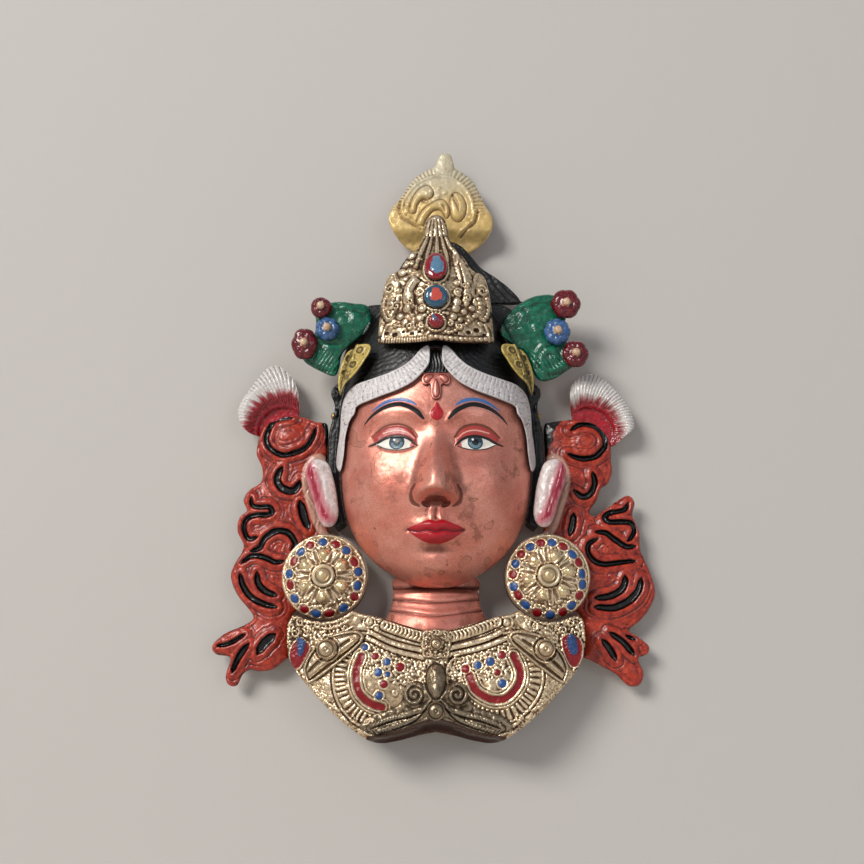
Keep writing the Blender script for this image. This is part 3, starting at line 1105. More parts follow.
def build_jewels():
    """The crown's three stones: cabochons in collars, each leaning with the plate."""
    tints = {"crown_jewel_top": (RED, rgb(84, 122, 150)),
             "crown_jewel_middle": (rgb(32, 78, 104), rgb(188, 74, 60)),
             "crown_jewel_bottom": (RED, rgb(60, 96, 124))}
    for name, z, radius, oval, spot in (("crown_jewel_top", 67.1, 5.2, 1.5, (0.5, -0.4, 2.9)),
                                        ("crown_jewel_middle", 52.4, 5.4, 1.0, (0.2, 0.2, 2.6)),
                                        ("crown_jewel_bottom", 40.6, 3.4, 1.0, (-0.6, 0.8, 1.1))):
        lean = (float(crown(0.0, z - 1)) - float(crown(0.0, z + 1))) / 2
        shank = 1.2 / oval
        cap = curve_profile((radius, 1.5), (radius, 2.1), (radius * 0.93, 2.8), (radius * 0.72, 3.4),
                                   (radius * 0.6, 3.35), (radius * 0.5, 3.75), (radius * 0.25, 4.0),
                                   (0, 4.05))
        profile = [(0, -4.8), (shank, -4.8), (shank, 1.45), (radius * 0.97, 1.45)] + cap
        sx, sz, sr = spot

        def field(angle, r, height, sx=sx, sz=sz, sr=sr):
            ragged = 0.35 * np.sin(3 * angle + sr) + 0.2 * np.sin(7 * angle)
            aside, up = r * np.cos(angle) - sx, r * np.sin(angle) - sz
            return sr + ragged - np.hypot(aside, up * (0.8 if sz else 1))

        outer, inner = tints[name]
        g = Graph(name + "_glass")
        colour = shaded(g, outer, 1.6, 0.7, 1.25)
        state = g.coat((colour, 0.16, 0.0, g.noise(1.0, 3)), "spot", shaded(g, inner, 1.3, 0.75, 1.35), 0.12,
                       wobble=0.8, level=0.4, soft=0.15)
        stone = g.finish(state, relief=0.06, coat=0.8, coat_rough=0.08)
        place_at = (0, float(crown(0.0, z)) + 0.3, z)
        turned(name, "blue_paint" if "middle" in name else "crimson_paint", stone, profile, place_at,
               [("spot", field), *plain_fields("bare")], (0, -1, lean), oval)


def build_finial():
    half = [(0, 49), (2.6, 47.8), (4.2, 44), (5.2, 41), (9.6, 38.6), (15.4, 33.5), (18.8, 27), (22, 21.5),
            (25.2, 16.5), (25.8, 11), (23.4, 6), (19, 1.5), (14, -2), (8, -4), (0, -4.6)]
    lean = math.radians(-4)
    q = both_halves(spline(half, 0.8))
    outline = np.stack([1.5 + q[:, 0] * math.cos(lean) - q[:, 1] * math.sin(lean),
                        92 + q[:, 0] * math.sin(lean) + q[:, 1] * math.cos(lean)], 1)

    def depth(x, z):
        return 7.4 + 4.8 * smooth_step(z, 93, 100) + bump(x, z, 2.5, 110, 14, 12, 2.0)

    r = Relief(outline, depth, 0.36, pillow=(1.2, 4.0))
    inner = spline([(-17.6, 108.9), (-15.8, 114.7), (-12.6, 120.5), (-7.7, 124.9), (-1.3, 127.4),
                    (4.2, 127.4), (10.1, 125.4), (15.1, 120.5), (17.8, 114.7), (18.6, 107.0)])
    d, along, hand = r.trace(inner, 10)
    fade = smooth_step(d, 0.1, 1.2) * smooth_step(-d, -7.6, -4.6) * (hand > 0)
    total = length_of(inner)
    off_top = smooth_step(np.abs(along / total - 0.52), 0.035, 0.1)
    r.h -= 0.62 * fade * off_top * beat(along, 1.75) ** 1.3
    r.stroke(inner, 1.2, 0.5, taper=0.4)
    for loop, rise in (([(-12.9, 108.2), (-12.6, 113), (-10.6, 117.8), (-7.6, 121.4), (-4.0, 122.4),
                         (-1.5, 119.8), (-1.6, 116.6), (-4.0, 114.8), (-6.6, 115.2), (-9.2, 112),
                         (-10.2, 108)], 1.7),
                       ([(7.2, 107.6), (6.8, 112.8), (8.0, 117.2), (10.6, 118.6), (13.4, 116.2),
                         (15.0, 111.8), (14.4, 106.6), (11.4, 103.2), (8.6, 104.2)], 1.4),
                       ([(-9.6, 102.6), (-6.7, 108.9), (-2.2, 112.6), (2.6, 114.6), (5.6, 112.2),
                         (6.8, 107.5), (5.0, 104.6), (2.4, 108.6), (-1.4, 108.4), (-4.6, 104.6),
                         (-6.4, 101)], 1.5)):
        loop = spline(loop, 0.5, closed=True)
        r.area(loop, rise, 1.1)
        r.stroke(loop, 0.6, -0.6, closed=True)
    r.area(spline([(7.6, 117.8), (9.2, 117.2), (11.6, 111.6), (11.2, 107.4), (9.2, 111.8), (8.0, 114.6)], 0.4,
                  closed=True), -1.9, 0.7)
    r.area(spline([(-7.6, 114.6), (-5.4, 115.2), (-3.4, 114.0), (-4.2, 112.6), (-6.6, 112.8)], 0.4,
                  closed=True),
           -1.3, 0.5)
    r.area(spline([(2.4, 111.7), (4.6, 110.8), (5.0, 107.4), (3.8, 108.4)], 0.4, closed=True), -1.3, 0.5)
    for line in ([(-17.8, 114.8), (-18.0, 109.9), (-16.6, 105.5), (-13.0, 103.1), (-7.6, 99.6)],
                 [(20.9, 109.4), (19.4, 103.6), (15.4, 99.6), (12.3, 96.6)]):
        r.stroke(spline(line), 1.0, -0.9)
        r.stroke(spline(line) + (1.2 if line[0][0] < 0 else -1.2, 0.4), 1.0, 0.6)
    for x, z in ((-14.6, 108.6), (-13.4, 105.6), (-14.0, 112.4), (-15.4, 110.4), (17.2, 105.4), (16.0, 102.6),
                 (-2.0, 118.6), (1.4, 120.8), (4.6, 118.4), (1.4, 116.8)):
        r.boss(x, z, 1.3, 0.7, power=0.7)
    r.grain(2.6, 0.35, 31)
    r.grain(1.1, 0.16, 32)
    g = Graph("ochre_finial")
    height = g.node("SeparateXYZ", {0: g.where}).outputs[2]
    top = g.step(g.plus(height, g.sway(0.018, 9, 3)), 0.105, 0.128)
    colour = g.mix(top, rgb(212, 180, 112), rgb(200, 190, 162))
    colour = g.mix(g.step(g.noise(2.2, 4, 0.65), 0.35, 0.7), g.shade(colour, 0.88), g.shade(colour, 1.06))
    pit = g.step(g.attribute("cavity"), 0.05, 0.36)
    colour = g.tint(colour, pit, 0.85, rgb(128, 98, 66))
    scuff = g.step(g.plus(g.noise(1.6, 5, 0.7), g.times(g.attribute("cavity"), -0.25)), 0.64, 0.7)
    colour = g.tint(colour, scuff, 0.6, rgb(224, 210, 172))
    dull = g.step(g.noise(5, 4, 0.6), 0.52, 0.68)
    colour = g.tint(colour, dull, 0.45, rgb(158, 134, 106))
    edge = g.step(g.attribute("wall"), 0.1, 0.8)
    colour = g.tint(colour, edge, 0.5, rgb(150, 112, 60))
    state = (colour, g.blend(g.noise(1.4, 3), 0.3, 0.48), 0.12, g.noise(0.8, 4, 0.65))
    r.build("finial", "cream_yellow_paint", g.finish(state, relief=0.06, coat=0.2), roll=1.0)


# ---------------------------------------------------------------- leaves, flowers and temple ornaments

FLOWERS = {  # name: (x, z, half width, half height, lobes)
    "red_upper_left": (-54.8, 55.8, 5.2, 5.2, 3), "blue_left": (-51.6, 45.2, 5.8, 5.8, 7),
    "red_lower_left": (-62.4, 37.8, 6.2, 7.8, 6), "red_upper_right": (62.0, 57.6, 7.2, 7.3, 6),
    "blue_right": (57.6, 43.8, 6.4, 6.6, 8), "red_lower_right": (66.0, 32.8, 6.3, 6.6, 6),
}
LEAF_RIGHT = [(31, 40.5), (31, 46), (32.8, 51.5), (36, 55), (40, 59), (45, 61.8), (50, 63.4), (55.5, 63.6),
              (61, 61), (64.8, 57.6), (62.4, 51.6), (61, 45), (63, 39.4), (68.4, 36.2), (69, 30.8),
              (63.6, 26.8), (57.5, 22.6), (52, 20.8), (48.2, 21.8), (45.6, 27), (43, 34.5), (36, 37.8)]
LEAF_LEFT = [(-31, 51), (-33, 58), (-40.8, 59.4), (-46.7, 60), (-51, 59.6), (-56, 58.6), (-58.2, 54.6),
             (-57.6, 50.5), (-58, 45), (-60, 42), (-64.6, 40), (-65.6, 36), (-62.7, 30.4), (-58.3, 27.4),
             (-53.4, 24.9), (-48.4, 23.3), (-46.2, 27), (-45.2, 32.9), (-42.6, 37), (-38, 41.3),
             (-33, 45.2)]


def build_leaf(label, green):
    outline = LEAF_RIGHT if label == "right" else LEAF_LEFT
    pins = [circle(v[0], v[1], PIN_HOLE, 16) for k, v in FLOWERS.items() if k.endswith("_" + label)]
    r = Relief(spline(outline, 0.8, closed=True), leaf, 0.45, holes=pins, pillow=(2.0, 4.0))
    if label == "right":
        curls = ((46.5, 47.4, 8.4, 0.8, 60, 0.55), (54.6, 31.8, 7.4, -1.2, 20, 0.8),
                 (38.4, 50.8, 4.2, -0.8, 100, 0.5))
        veins = [[(36, 54.4), (42, 58.2), (50, 60.6), (57, 60.4)], [(46.4, 27.6), (49.4, 36.4), (55.6, 40.4)],
                 [(50.4, 24.4), (57, 25.8), (63.4, 29.6)]]
    else:
        curls = ((-44.4, 38.8, 6.4, 0.7, 200, 0.45), (-43.6, 50.6, 6.2, -0.7, 90, 0.45),
                 (-58.4, 33.4, 3.6, -0.8, 120, 0.35))
        veins = [[(-33.4, 55), (-40.8, 56.8), (-49, 57.2)], [(-45.4, 40.4), (-52.4, 40.6), (-57.4, 43.6)],
                 [(-48.4, 26.4), (-54.4, 28), (-60, 31.6)]]
    for x, z, radius, turns, start, rise in curls:
        d, _, _ = r.trace(spiral(x, z, radius, turns, start, 60, 0.84), 4)
        r.h += rise * crest(d, 2.2) ** 1.2
        r.h += 0.14 * np.cos(2 * np.pi * d / 1.0) * smooth_step(-d, -3.6, -2.4)
    for line in veins:
        r.stroke(spline(line), 1.4, 0.4, taper=0.6)
        r.stroke(spline(line) + (0.4, -1.9), 0.7, -0.3, taper=0.6)
    r.h += 0.07 * np.cos(2 * np.pi * (r.edge + 0.9 * speckle(r.x, r.z, 4, 3)) / 1.3)
    # Diagonal brush marks near the lower tip.
    low = smooth_step(-r.z, -38, -33)
    r.h += 0.16 * low * np.cos(2 * np.pi * (r.x * 0.75 + np.sign(r.x) * r.z * 0.5) / 1.5)
    r.grain(3.4, 0.7, 40)
    r.grain(1.5, 0.3, 41)
    r.build(f"leaf_{label}", "green_paint", green, roll=0.9)


def build_flower(key, pin_paint):
    x, z, rx, rz, lobes = FLOWERS[key]
    a = 2 * math.pi * np.arange(lobes * 16) / (lobes * 16)
    radius = 1 - 0.07 * (1 - np.abs(np.cos(a * lobes / 2)) ** 0.8)
    outline = np.stack([x + rx * radius * np.cos(a), z + rz * radius * np.sin(a)], 1)
    seat = 24.0
    r = Relief(outline, level(seat), 0.32, holes=[circle(x, z, PIN_HOLE, 16)], pillow=(2.4, 2.4))
    dx, dz = (r.x - x) / rx, (r.z - z) / rz
    reach, angle = np.hypot(dx, dz), np.arctan2(dz, dx)
    r.h -= 0.35 * smooth_step(reach, 0.45, 0.95) * (1 - np.abs(np.cos(angle * lobes / 2)) ** 0.6)
    r.h -= 0.35 * crest(reach, 0.16, at=0.42)
    swirl = angle * 9 + 3 * reach + 3 * speckle(r.x, r.z, 2.4, 9)
    r.h += 0.1 * np.cos(swirl) * smooth_step(reach, 0.3, 0.6)
    r.grain(2.4, 0.7, 44)
    r.grain(1.0, 0.25, 45)
    if key.startswith("blue"):
        colours, centre, slot = (rgb(44, 82, 132), rgb(70, 108, 156)), rgb(206, 178, 136), "blue_paint"
        cavity = rgb(20, 28, 52)
    else:
        colours, centre, slot = (rgb(76, 0, 12), rgb(114, 4, 22)), rgb(198, 120, 104), "crimson_paint"
        cavity = rgb(34, 2, 8)
    r.paint("centre", (0.3 - reach + 0.05 * np.cos(angle * 5)) * rx)
    paint = enamel("petal_" + key, colours, [("centre", centre)], roughness=0.24, size=1.6, gloss=0.3,
                   specks=0.15, cavity=cavity)
    r.build(f"flower_{key}", slot, paint, roll=0.9)
    profile = [(0, 16.0), (1.9, 16.0), (1.9, 16.9), (1.0, 16.9), (1.0, seat + 2.9)]
    profile += dome(1.9, seat + 2.9, seat + 4.3)
    turned(f"flower_pin_{key}", "brass", pin_paint, profile, (x, 0, z), plain_fields(), steps=28)


def temple_depth(x, z):
    """The temple ornament rests on the green spray and on the hair beside it."""
    return smooth_max(laid_on(leaf, 1.3)(x, z) + 2.0, laid_on(hair, 1.4)(x, z), 0.8)


def build_temple_ornament(sign, label, paint):
    outline = [(39.4, 35.4), (35.0, 35.2), (30.8, 33.6), (30.2, 30.2), (32.8, 25.8), (35.6, 21.8),
               (39.2, 18.4), (42.8, 15.8), (45.0, 12.6), (46.2, 18.4), (45.6, 25.0), (43.8, 30.4),
               (42.0, 33.8)]
    r = Relief(side(spline(outline, 0.6, closed=True), sign), temple_depth, 0.36)
    r.h += 0.5 * crest(r.edge, 0.8, at=0.7)
    for x, z, radius in ((35.4, 31.8, 2.3), (40.9, 30.4, 2.5), (38.7, 25.0, 2.3), (43.0, 23.6, 1.9),
                         (41.6, 19.2, 1.5)):
        distance = np.hypot(r.x - sign * x, r.z - z)
        r.boss(sign * x, z, radius + 0.4, 0.9, power=0.6)
        r.boss(sign * x, z, radius * 0.6, -0.8, power=0.8)
        r.paint("olive", 0.5 - np.abs(distance - radius * 0.62))
    for x, z in ((38.2, 34.0), (37.8, 28.4), (43.0, 27.6), (41.0, 22.0), (44.2, 17.6), (33.6, 29.0)):
        r.boss(sign * x, z, 0.8, 0.5, power=0.6, paint="olive", grow=-0.3)
    r.grain(1.2, 0.4, 46)
    r.build(f"temple_ornament_{label}", "cream_yellow_paint", paint, thickness=1.0, roll=0.6, soften=8)


# ---------------------------------------------------------------- wings, fans and ears

WING_INNER = [(68.1, -108), (67.9, -98), (67.2, -89), (60, -84), (51, -82), (47.5, -74), (47.4, -62),
              (50, -52), (51.4, -42), (51.8, -26), (52, -12), (51.6, -1), (52.6, 2.6)]
WING_LEFT = [(52.6, 2.6), (58, 3.4), (64.4, 5.6), (72.3, 5.6), (79.4, 3), (83.6, -1), (85.4, -8),
             (85.6, -13), (82.8, -19.5), (83.2, -26), (88.6, -30), (91.2, -34.8), (89.4, -40),
             (92.8, -43), (93.5, -49.5), (90.4, -57), (94.3, -65), (95.8, -71.4), (92.4, -79.5),
             (84.8, -89), (88.4, -93), (97.8, -97.2), (103.2, -102.6), (101.4, -106.4),
             (94.6, -108.2), (96.5, -115.4), (95.4, -120), (91.4, -120.6), (88.8, -115.6),
             (85.2, -113.4), (81, -114.2), (75, -113.2), (69.8, -109.4)]
WING_RIGHT = [(52.6, 2.6), (59.3, 3.7), (66.5, 4.2), (74, 3.2), (80, -1.2), (83.4, -8.6),
              (83.6, -15.5), (83.8, -21.4), (81.8, -26.6), (78, -29.6), (76, -35), (72.6, -40.2),
              (75, -42.6), (80.5, -39), (86.4, -34.8), (91.2, -32.6), (94, -36), (92.8, -42.4),
              (95.8, -50.6), (96, -58.6), (99.8, -68), (102.2, -78), (99.2, -85.6), (94.6, -91.2),
              (89.2, -95.6), (93, -98.4), (98.2, -102.6), (97.4, -106.4), (93.2, -108.6),
              (95.4, -114.8), (93.4, -120.2), (88.2, -120.6), (82.8, -115.6), (76.6, -112),
              (70.4, -108.8)]
# The black grooves of each wing: half width and line.
GROOVES = {
    "left": [(1.15, [(-68.9, 5.0), (-77.0, 3.5), (-80.2, -1.4), (-81.0, -6.7), (-78.0, -11.1), (-72.7, -13.5),
                    (-66.1, -12.1), (-61.4, -9.2), (-58.6, -4.3), (-57.4, 0.1)]),
             (1.7, [(-73.0, -19.3), (-75.2, -25.1), (-72.7, -29.4), (-68.0, -30.8), (-65.2, -28.4),
                    (-64.3, -26.0)]),
             (1.8, [(-64.1, -35.6), (-62.2, -42.5), (-59.8, -48.8)]),
             (1.1, [(-87.4, -33.7), (-86.6, -37.5), (-83.3, -38.4), (-78.6, -38.4), (-77.1, -40.8),
                    (-79.4, -42.2), (-84.6, -42.2), (-88.4, -43.6), (-90.2, -46.6), (-89.6, -50.7),
                    (-87.6, -53.4), (-83.8, -52.6)]),
             (1.35, [(-86.6, -59.1), (-82.7, -57.7), (-80.0, -53.1), (-75.4, -50.0), (-70.8, -50.0),
                     (-67.4, -52.6), (-65.9, -55.9), (-67.2, -58.7)]),
             (1.15, [(-90.8, -64.7), (-86.5, -61.5), (-80.7, -61.9), (-75.0, -64.3), (-70.8, -63.8)]),
             (1.3, [(-91.4, -69.4), (-90.1, -74.5), (-86.3, -80.0), (-80.0, -83.6), (-73.5, -85.2)]),
             (1.4, [(-83.3, -68.9), (-82.6, -74.0), (-79.2, -77.8), (-73.8, -79.8)]),
             (0.9, [(-100.8, -102.8), (-95.1, -101.6), (-88.1, -97.4)]),
             (1.3, [(-93.4, -114.7), (-90.5, -107.7), (-86.0, -101.6)]),
             (2.0, [(-82.0, -106.3), (-78.6, -101.4), (-74.2, -97.4)])],
    "right": [(1.2, [(64.4, -1.4), (68.3, 1.1), (72.6, 1.6), (77.4, -0.1), (80.2, -3.8), (80.8, -7.7),
                     (79.3, -11.1), (75.6, -14.3), (70.7, -15.4), (66.0, -14.5), (62.7, -13.0)]),
              (1.3, [(74.1, -21.7), (75.2, -27.0), (72.6, -32.4), (68.8, -33.4), (64.9, -30.3)]),
              (1.5, [(64.9, -41.3), (64.0, -47), (62.6, -51.8)]),
              (1.15, [(90.9, -36.1), (88.4, -39.8), (81.3, -41.3), (79.6, -43.6), (81.7, -45.5),
                     (86.8, -45.5), (91.6, -45.9), (93.2, -48.8), (92.0, -52.2), (89.8, -54.5)]),
              (1.2, [(74.5, -50.2), (79.6, -50.7), (84.0, -54.0), (88.8, -57.0), (93.6, -56.8)]),
              (1.1, [(75.8, -53.1), (71.5, -55.9), (71.0, -59.6), (73.6, -63.6), (78.7, -65.3), (87.6, -64.3),
                     (93.3, -63.8)]),
              (1.5, [(73.7, -80.8), (79.4, -80.4), (84.9, -78.0), (87.6, -74.5), (88.0, -70.4)]),
              (1.6, [(73.4, -85.0), (81.8, -85.4), (88.8, -82.6), (93.6, -77.8), (95.6, -71.8)]),
              (1.3, [(79.9, -96.6), (85.5, -100.5), (89.0, -104.4), (91.0, -107.0)]),
              (1.3, [(76.4, -99.9), (79.8, -104.1), (82.6, -109.2)]),
              (0.8, [(87.5, -98.1), (92.0, -99.9)])]}


def build_wing(label, paint):
    sign = 1 if label == "right" else -1
    outer = WING_RIGHT if label == "right" else WING_LEFT
    outline = np.concatenate([spline(outer, 0.9), spline(WING_INNER, 1.6)[:-1]]) * (sign, 1)
    hole = circle(sign * EARRING_X, EARRING_Z, EARRING_HOLE, 20)
    r = Relief(outline, level(WING_DEPTH), 0.5, holes=[hole], pillow=(2.4, 4.0))
    nearest = np.full(r.x.shape, 9.0)
    for width, line in GROOVES[label]:
        path = spline(line, 0.6)
        d, along, _ = r.trace(path, 8)
        total = length_of(path)
        middle = 1 - np.abs(2 * along / total - 1) ** 3
        local = width * (0.62 + 0.38 * middle) * np.clip(np.minimum(along, total - along) / 2.4 + 0.3, 0, 1)
        local = local + 0.25 * (speckle(r.x, r.z, 2.5, 14) - 0.5)
        r.paint("black", local + 0.25 - d)
        nearest = np.minimum(nearest, np.where(d < 8, d - local, 9.0))
    gone = np.clip(nearest, 0, 9)
    # A rounded lip stands beside each groove, and finer lines follow it outwards.
    r.h += 0.8 * crest(gone, 1.5, at=1.2) ** 1.2 * (nearest > -0.2)
    drift = 1.4 * (speckle(r.x, r.z, 7, 15) - 0.5)
    fade = smooth_step(gone, 2.0, 2.8) * smooth_step(-gone, -6.5, -3.5)
    fade = fade * (0.5 + 0.5 * speckle(r.x, r.z, 9, 16))
    r.h += 0.44 * fade * np.cos(2 * np.pi * (gone + drift - 2.6) / 1.7)
    r.h -= 1.9 * smooth_step(-nearest, -0.3, 0.6)
    inner_edge = r.trace(spline(WING_INNER, 1.6) * (sign, 1), 6)[0]
    rim = smooth_step(inner_edge, 3, 5)
    r.h += 0.3 * rim * crest(r.edge, 0.9, at=1.1)
    r.h -= 0.2 * rim * crest(r.edge, 0.6, at=2.3)
    boss = (-69.8, -4.3) if sign < 0 else (71.8, -7.0)
    distance = np.hypot(r.x - boss[0], r.z - boss[1])
    r.h += 1.5 * crest(distance, 7.6) ** 0.9
    r.h -= 0.2 * crest(distance, 0.7, at=5.2)
    r.h -= 0.15 * crest(distance, 0.6, at=2.8)
    eye = (-77.4, -57.0) if sign < 0 else (81.6, -70.6)
    second_eye = (-75.8, -71.6) if sign < 0 else (80.8, -58.6)
    for (x, z), radius in ((eye, 3.4), (second_eye, 2.8)):
        distance = np.hypot(r.x - x, r.z - z)
        r.h += 0.5 * crest(distance, radius) ** 0.8
        r.h -= 0.3 * crest(distance, 0.5, at=radius * 0.5)
    # The hair's black paint runs over on to the ribbon beside the head.
    reach = [52.5, 55.6, 57.5, 60.5] if sign > 0 else [52.5, 53.2, 53.8, 55.4]
    black_to = np.interp(r.z, [-14, -6, 0, 4], reach)
    r.paint("black", black_to - np.abs(r.x) + 1.6 * (speckle(r.x, r.z, 2, 17) - 0.5) - 3 * (r.z < -16))
    # The ear's cream surround is painted on the ribbon beside the head.
    ear_line = spline([(49.6, -12), (50.4, -18), (56, -14.6), (60.6, -19.6), (61.4, -28), (58.4, -38),
                       (55.4, -46.6), (52, -51.6), (49, -52.4)]) * (sign, 1)
    d, _, _ = r.trace(ear_line, 5)
    r.paint("cream", 1.9 - d)
    r.h += 0.8 * crest(d, 1.9)
    r.grain(6.0, 0.45, 50)
    r.grain(2.4, 0.2, 51)
    r.grain(1.0, 0.18, 52)
    r.build(f"wing_{label}", "vermilion_paint", paint, roll=1.0)


FAN_LEFT = [(78.4, 31), (74.6, 29.9), (70.1, 25.5), (66.9, 19), (65.9, 11), (66.6, 1), (72, -2),
            (80, -4.6), (85.6, -3.4), (90, -2), (93.6, 2), (95, 7.3), (93.9, 12), (90.3, 18.3),
            (86.2, 24.4), (82.6, 29.3)]
FAN_RIGHT = [(76.4, 26.8), (68.8, 24.4), (65.3, 20.6), (64.4, 15), (65.4, 7), (67, 0), (75, -5),
             (81, -8.6), (85.6, -8), (90.2, -4.4), (94.4, -0.6), (94.6, 4), (92.2, 10.4),
             (87.3, 17.2), (82.2, 22.7)]


def build_fan(label, paint):
    sign = 1 if label == "right" else -1

    def depth(x, z):
        reach = np.hypot(np.abs(x) - 72.0, z + 4.0)
        return 6.4 + 5.4 * smooth_step(reach, 12.5, 21) - 2.0 * smooth_step(reach, 26, 37)

    outline = side(spline(FAN_LEFT if sign < 0 else FAN_RIGHT, 0.7, closed=True), sign)
    r = Relief(outline, depth, 0.4)
    # Fine ribs fan out from a centre at the root, 84 to the full turn.
    dx, dz = (r.x - sign * 73.5) * sign, r.z + 1.5
    reach, angle = np.hypot(dx, dz), np.arctan2(dz, dx)
    bend = angle + 0.012 * (reach - 22)
    rib = np.abs(np.cos(bend * 84 / 2))
    r.h += 1.15 * smooth_step(reach, 8, 14) * (rib ** 0.6 - 0.65)
    r.h -= 1.2 * smooth_step(-r.edge, -3.4, 0) * smooth_step(reach, 18, 22)
    r.h += 0.5 * crest(reach, 1.2, at=12.6)
    r.grain(1.2, 0.3, 55)
    ragged = 3.4 * (speckle(bend * 18, reach / 9, 1, 8) - 0.5)
    ragged += 1.6 * (speckle(bend * 40, reach / 5, 1, 9) - 0.5)
    r.paint("white", reach - (15.8 if sign > 0 else 19.0) + ragged)
    r.paint("line", 0.3 - rib - 3 * (1 - smooth_step(reach, 20, 25)))
    r.build(f"fan_{label}", "white_paint", paint, soften=10)


def build_ear(sign, label, paint):
    outline = [(54.0, -17.4), (50.0, -20.0), (47.2, -28), (45.6, -37), (45.2, -44), (47.4, -48.4),
               (51.6, -48.8), (54.6, -44.4), (57.0, -36.5), (59.8, -28.6), (60.6, -22.6), (58.0, -18.0)]
    r = Relief(side(spline(outline, 0.6, closed=True), sign), level(21.2), 0.32, pillow=(3.0, 3.0))
    hollow = spline([(55.2, -21.4), (52.4, -24.6), (51, -30.6), (50.6, -36.6), (52.2, -35.6), (53.6, -30),
                     (56.2, -25), (57.4, -21.8)], 0.4, closed=True) * (sign, 1)
    r.area(hollow, -0.8, 1.2)
    r.stroke(spline([(57.6, -22), (55.8, -28.4), (53.4, -35.4), (51, -42.6)]) * (sign, 1), 0.9, -0.5,
             taper=0.6)
    crescent = spline([(58.8, -20), (59.6, -24.4), (57.6, -31.4), (54.8, -38.6), (52, -44.6), (48.4, -46),
                       (50.8, -41.6), (53.2, -36), (55, -29.8), (57, -24)], 0.4, closed=True) * (sign, 1)
    within = r.inside(crescent, 5)
    streak = speckle(r.x * 1.6, r.z * 0.35, 1.0, 4) - 0.5
    r.paint("crimson", within - 0.2 + 1.6 * streak)
    r.paint("pink", within + 2.0 + 1.2 * streak)
    r.grain(1.6, 0.3, 57)
    r.build(f"ear_{label}", "white_paint", paint)


# ---------------------------------------------------------------- earrings and breastplate

def granules(r, size, rise, mask, seed):
    """A punched ground of small round grains where mask is 1."""
    u, v = r.x / size, r.z / size
    best = np.full(r.x.shape, 9.0)
    for di in (-1, 0, 1):
        for dj in (-1, 0, 1):
            i, j = np.floor(u) + di, np.floor(v) + dj
            px = i + speckle(i, j, 1, seed)
            pz = j + speckle(i, j, 1, seed + 1)
            best = np.minimum(best, np.hypot(u - px, v - pz))
    r.h += rise * mask * (np.sqrt(crest(best, 0.5)) - 0.45)


def gem(r, x, z, rx, colour, rz=None, turn=0.0):
    """A painted bead in a raised collar on a worked ground."""
    rz = rz or rx
    w = r.window((x - rx - rz - 2, z - rx - rz - 2), (x + rx + rz + 2, z + rx + rz + 2))
    a = math.radians(turn)
    dx, dz = r.x[w] - x, r.z[w] - z
    u, v = dx * math.cos(a) + dz * math.sin(a), dz * math.cos(a) - dx * math.sin(a)
    ratio = np.sqrt((u / rx) ** 2 + (v / rz) ** 2)
    gap = (ratio - 1) * min(rx, rz)
    ground = blur(blur(r.h, 1)[w], 12)
    flat = smooth_step(-gap, -0.9, -0.2)
    r.h[w] = r.h[w] * (1 - flat) + ground * flat
    r.h[w] += 0.42 * crest(gap, 0.45, at=0.45)
    r.h[w] += 0.75 * np.sqrt(np.clip(1 - ratio ** 2, 0, 1)) - 0.1 * (gap < 0)
    field = r.paints.setdefault(colour, np.full(r.x.shape, UNPAINTED))
    field[w] = np.maximum(field[w], -gap - 0.02)


